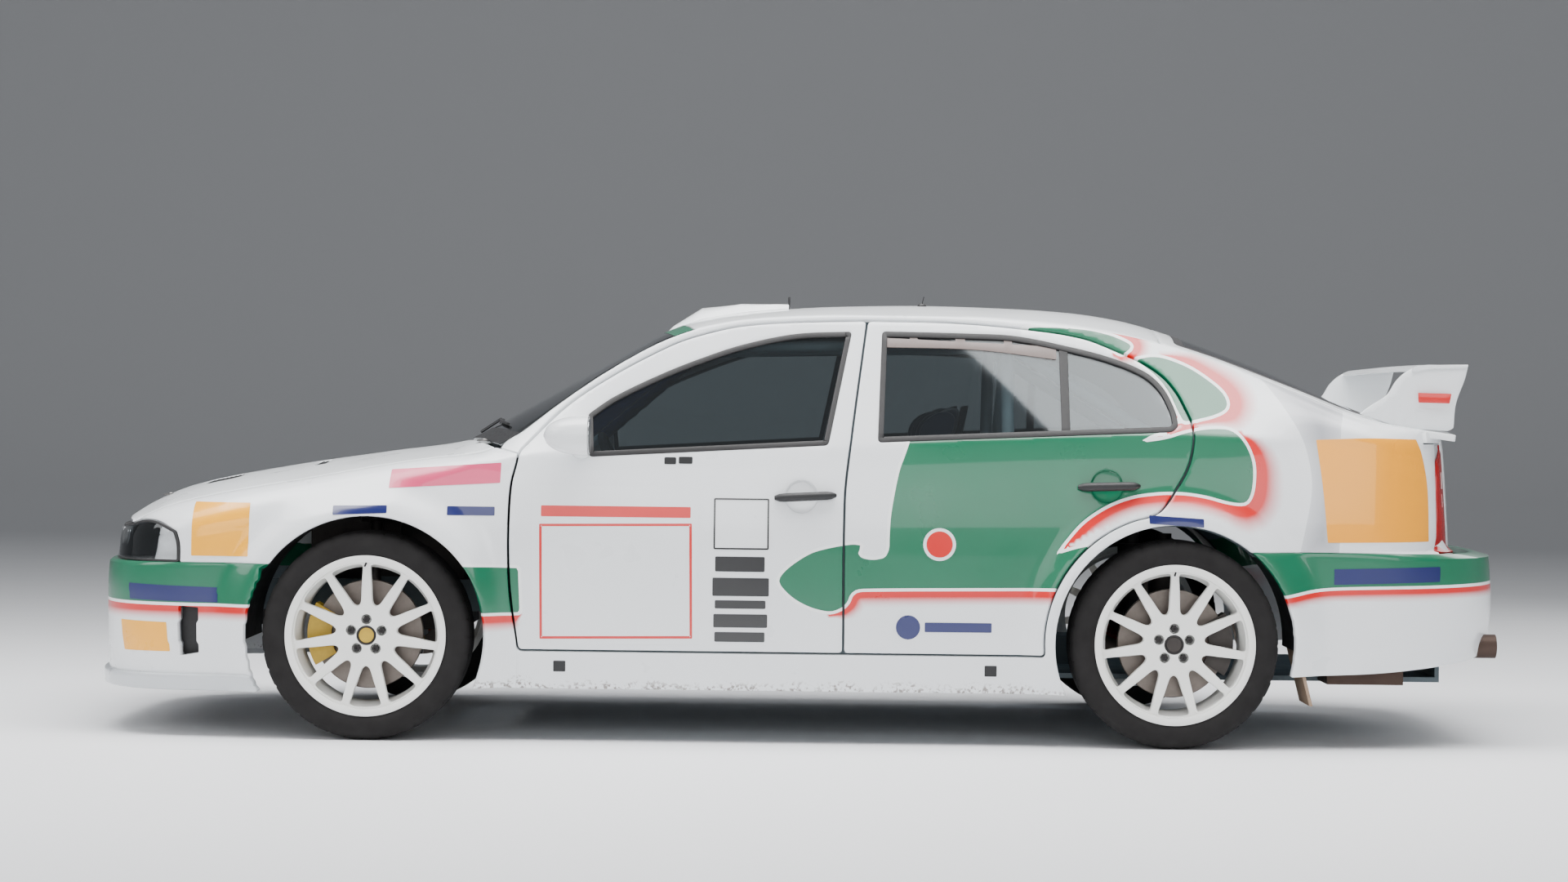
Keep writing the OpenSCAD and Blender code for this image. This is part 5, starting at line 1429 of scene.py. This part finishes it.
def add_mirror(name, flip):
    """Door mirror: a rounded housing on a foot, with its glass facing back."""
    body = f"{name}_front_door"
    root = float(side_y(-685, 895)) - 1.5
    mid_z = 955
    count = 28
    rows = []
    for t in np.linspace(0, 1, 15):
        x = -797 + 140 * t
        grow = min(1, math.sqrt(max(0.0, 1 - (1 - t) ** 2.4)))
        wide, tall = 92 * grow, 62 * grow
        rows.append((x, root + 96 + (1 - grow) * 6, mid_z, max(wide, 2), max(tall, 2)))
    rings = []
    for x, y, z, wide, tall in rows:
        ring = []
        for k in range(count):
            a = 2 * math.pi * k / count
            u = math.copysign(abs(math.cos(a)) ** 0.7, math.cos(a))
            v = math.copysign(abs(math.sin(a)) ** 0.8, math.sin(a))
            ring.append((x, y + wide * u, z + tall * v))
        rings.append(ring)
    foot = sweep([(-685, root, 898), (-690, root + 30, 906), (-705, root + 62, 925)], [17, 16, 22], 14,
                 scale=(1.6, 1))
    make(f"{name}_mirror_housing", on(join(loft(rings), foot), flip), WHITE_PAINT, body,
         [f"{name}_mirror"])
    glass_line = [(root + 96 + 82 * math.copysign(abs(math.cos(a)) ** 0.7, math.cos(a)),
                   mid_z + 53 * math.copysign(abs(math.sin(a)) ** 0.8, math.sin(a)))
                  for a in np.linspace(0, 2 * math.pi, 40, endpoint=False)]

    def face(p):
        return np.column_stack([np.full(len(p), -655.5), p[:, 0], p[:, 1]])
    pane = panel([np.array(glass_line)], face, 2, step=20, edge=0.6, centre_way=(-1, 0, 0))
    make(f"{name}_mirror_glass", on(pane[:2], flip), CHROME, body)


def decal(name, flip, outline, material, body, lift=1.0, radius=3):
    part = panel([loop(outline, radius=radius, step=9)], side, 0.6, step=10, edge=0, lift=lift,
            back_step=10)
    make(name, on(part[:2], flip), material, body)


def block(x0, x1, z0, z1):
    return [(x0, z0), (x1, z0), (x1, z1), (x0, z1)]


def add_side_trim(name, flip):
    door, back_door = f"{name}_front_door", f"{name}_rear_door"
    decal(f"{name}_number_tile", flip, [(-832, 798), (-832, 309), (-316, 309), (-316, 798)],
            WHITE_PAINT, door)
    frame_line = np.array([(-811, 679), (-806, 321), (-331, 327), (-336, 685)])
    part = panel([loop(frame_line, radius=3, step=9), loop(grown(loop(frame_line, radius=3), -8), radius=1,
                                                           step=9)], side, 0.5, step=40, edge=0, lift=1.5)
    make(f"{name}_number_frame", on(part[:2], flip), RED_PAINT, door)
    card = loop(block(-268, -96, 606, 765), radius=5)
    part = panel([card, grown(card, -5)], side, 0.6, step=40, edge=0, lift=1.0)
    make(f"{name}_card_outline", on(part[:2], flip), BLACK_PAINT, door)
    marks = [panel([loop(block(x0, x1, z0, z1), radius=4, step=12)], side, 0.6, step=15, edge=0,
            lift=1.0)[:2]
             for x0, x1, z0, z1 in ((-262, -108, 537, 584), (-270, -94, 461, 518), (-262, -104, 422, 448),
                                    (-266, -98, 363, 405), (-262, -106, 318, 349), (-425, -388, 868, 890),
                                    (-380, -337, 870, 892))]
    make(f"{name}_plain_marks", on(join(*marks), flip), BLACK_PAINT, door)
    decal(f"{name}_door_disc", flip, circle(340, 370, 38), BLUE_PAINT, back_door)
    decal(f"{name}_door_bar", flip, block(392, 600, 356, 386), BLUE_PAINT, back_door)
    decal(f"{name}_round_mark_rim", flip, circle(435, 629, 51), WHITE_PAINT, back_door)
    decal(f"{name}_round_mark", flip, circle(435, 629, 41), RED_PAINT, back_door, lift=1.6)
    decal(f"{name}_number_header", flip, block(-806, -340, 702, 736), RED_PAINT, door, lift=1.5)
    decal(f"{name}_wing_pink_plate", flip, [(-1278, 841), (-1282, 784), (-935, 804), (-933, 867)],
            PINK_PAINT,
          "chassis")
    decal(f"{name}_wing_blue_plate", flip, [(-1451, 728), (-1450, 700), (-1282, 707), (-1282, 731)],
            BLUE_PAINT,
          "chassis")
    decal(f"{name}_wing_blue_bar", flip, block(-1098, -950, 702, 730), BLUE_PAINT, "chassis")
    decal(f"{name}_wing_yellow_plate", flip, block(-1897, -1716, 566, 732), YELLOW_PAINT, "chassis")
    decal(f"{name}_rear_blue_plate", flip, [(1083, 728), (1084, 702), (1253, 718 - 26), (1253, 718)],
            BLUE_PAINT,
          "chassis")
    decal(f"{name}_quarter_plate", flip, [(1611, 968), (1773, 974), (1935, 972), (1955, 924), (1974, 822),
                                          (1978, 652), (1645, 648), (1630, 818)], AMBER_PAINT, "chassis")
    nose, tail = Ring(-1, 165, BUMPER_TOP), Ring(1, 225, REAR_BUMPER_TOP)
    for piece, ring, pts, material in (
            ("bumper_blue_plate", nose, [(-2108, 475), (-1811, 468), (-1810, 421), (-2103, 425)],
                    BLUE_PAINT),
            ("bumper_yellow_plate", nose, [(-2138, 358), (-1976, 356), (-1964, 265), (-2124, 263)],
                    YELLOW_PAINT),
            ("rear_bumper_blue_plate", tail, [(1664, 566), (2005, 575), (2005, 528), (1665, 517)],
                    BLUE_PAINT)):
        line = [(ring.place(z, x=x), z) for x, z in pts]
        part = panel([loop(line, radius=3, step=9)], ring, 0.6, step=10, edge=0, lift=1.0, back_step=10)
        make(f"{name}_{piece}", on(part[:2], flip), material, "chassis")
    slots = [(263, 343), (367, 487), (518, 641), (667, 791)]
    plate = loop([(262, 1300), (548, 1293), (806, 1270), (807, 1213), (549, 1241), (263, 1246)], radius=5)
    holes = [loop([(a, 1276 - 0.04 * (a - 263)), (b, 1276 - 0.04 * (b - 263)), (b,
            1290 - 0.045 * (b - 263)),
                   (a, 1290 - 0.045 * (a - 263))], radius=3, step=6) for a, b in slots]
    part = panel([plate] + holes, side, 3, step=20, edge=1, lift=-2)
    make(f"{name}_window_vent_plate", on(part[:2], flip), TAUPE, back_door)
    bar = panel([loop([(816, 985), (843, 988), (843, 1252), (816, 1257)], radius=3)], side, 6, step=20,
            edge=1,
                lift=-0.5)
    make(f"{name}_window_divider", on(bar[:2], flip), RUBBER, back_door)
    for k, x in enumerate((-744, 599)):
        z = 236
        frame_line = loop(block(x - 19, x + 19, z - 17, z + 17), radius=3, step=5)
        rim = panel([frame_line, grown(frame_line, -4)], side, 4, step=12, edge=1, lift=2)
        hole = panel([grown(frame_line, -3)], side, 2, step=12, edge=0, lift=0.8)
        make(f"{name}_jack_socket_{k}", on(join(rim[:2], hole[:2]), flip), BLACK, "chassis")


def add_top_trim():
    z = float(top_z(396, -240))
    base = revolve([(0.5, 8), (9, 8), (14, 3), (15, 0), (15, -4), (0.5, -4)], 24)
    up = Matrix.Rotation(math.radians(90), 3, "X")
    parts = [moved(base, (396, -240, z + 1), up), sweep([(396, -240, z + 4), (402, -240, z + 32)], [2.2,
            1.4], 8)]
    make("roof_aerial", join(*parts), BLACK, "chassis")
    arms = []
    for y0, y1 in ((-520, -60), (80, 560)):
        ys = np.linspace(y0, y1, 12)
        xs = np.array([float(cowl_x(y)) + 88 + 20 * (y - y0) / (y1 - y0) for y in ys])
        arms.append(sweep(np.column_stack([xs, ys, top_z(xs, ys) + 9]), 6, 8, scale=(1, 0.8)))
        arms.append(sweep([(cowl_x(y1) + 40, y1 - 40, float(top_z(cowl_x(y1) + 40, y1 - 40)) + 9),
                           (xs[6], ys[6], float(top_z(xs[6], ys[6])) + 15)], 5, 8))
    make("wipers", join(*arms), BLACK, "chassis")
    pins = []
    for x, y in ((-2050, -330), (-2050, 330), (-1010, -560), (-1010, 560)):
        pin = revolve([(0.5, 5), (7, 5), (9, 3), (20, 2), (24, 0), (24, -3), (0.5, -3)], 24)
        pins.append(moved(pin, (x, y, float(top_z(x, y)) + 1), up))
    make("bonnet_pins", join(*pins), STEEL, "bonnet")


def keep_materials():
    """Plain CAD pieces that stay in view take a worked material."""
    kept = {"floor_pan": CABIN, "front_suspension": IRON, "rear_suspension": IRON, "arch_liners": LINER,
            "exhaust": SOOT, "engine_block": IRON, "left_knuckle": CALIPER, "right_knuckle": CALIPER}
    for node, material in kept.items():
        for slot_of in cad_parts[node].material_slots:
            slot_of.material = material


# ---------- the shot ----------
def light(name, where, aim, size, power, colour=(1, 1, 1)):
    data = bpy.data.lights.new(name, "AREA")
    data.shape = "RECTANGLE"
    data.size, data.size_y = size
    data.energy = power
    data.color = colour
    lamp = bpy.data.objects.new(name, data)
    bpy.context.scene.collection.objects.link(lamp)
    lamp.location = where
    lamp.rotation_euler = (Vector(aim) - Vector(where)).to_track_quat("-Z", "Y").to_euler()


def backdrop():
    """Pale studio floor that curves up into a wall behind, painted darker grey with distance from the car
    as painted shade of the light falling off.
    """
    rows = [(-26, 0), (16, 0)]
    rows += [(16 + 6 * math.sin(t), 6 - 6 * math.cos(t)) for t in np.linspace(0.1, math.pi / 2, 14)]
    rows += [(22, 16)]
    verts = [(x, y, z) for x in (-40, 40) for y, z in rows]
    n = len(rows)
    faces = [(k, k + n, k + n + 1, k + 1) for k in range(n - 1)]
    mesh = bpy.data.meshes.new("studio_floor")
    mesh.from_pydata(verts, [], faces)
    mesh.polygons.foreach_set("use_smooth", [True] * len(faces))
    floor = bpy.data.objects.new("studio_floor", mesh)
    n = Nodes("studio_floor")
    tone = n.mix(n.noise(0.6, 2), rgb(240, 241, 243), rgb(236, 237, 240))
    split = n.add("ShaderNodeSeparateXYZ")
    n.link(n.place(), split.inputs[0])
    # Painted shade: floor and wall fade to grey from 3 m to 18 m behind the car, standing in for the light
    # falling off.
    falloff_shade = n.spread(split.outputs[1], 3, 18)
    n.put(n.shader.inputs["Base Color"], n.mix(falloff_shade, tone, rgb(176, 177, 179)))
    n.shader.inputs["Roughness"].default_value = 0.6
    mesh.materials.append(n.material)
    bpy.context.scene.collection.objects.link(floor)


def shot():
    backdrop()
    light("soft_top", (0, -0.6, 5.0), (0, 0, 0.4), (7.5, 3.4), 470)
    light("soft_side", (-0.3, -2.3, 6.4), (0, 0, 0.5), (12, 3.0), 640)
    light("soft_low", (0, -15, 4.5), (0, 0, 0.5), (20, 5), 900)
    light("soft_front", (-6.5, -2.5, 3.4), (0, 0, 0.6), (3, 3), 110)
    light("soft_back", (5.5, 5, 4.0), (0, 0, 0.6), (4, 3), 110)
    world = bpy.data.worlds.new("studio")
    world.use_nodes = True
    world.node_tree.nodes["Background"].inputs[0].default_value = (0.62, 0.64, 0.67, 1)
    world.node_tree.nodes["Background"].inputs[1].default_value = 0.5
    bpy.context.scene.world = world
    data = bpy.data.cameras.new("studio_camera")
    data.lens = 77.7
    data.sensor_width = 36
    data.shift_y = -0.0174
    camera = bpy.data.objects.new("studio_camera", data)
    bpy.context.scene.collection.objects.link(camera)
    camera.location = (-0.0535, -11.37, 1.03)
    camera.rotation_euler = (math.radians(90), math.radians(-0.68), 0)
    bpy.context.scene.camera = camera


add_sides()
add_top()
add_ends()
add_wheels()
add_cabin()
add_steering()
add_trim()
add_top_trim()
keep_materials()
shot()
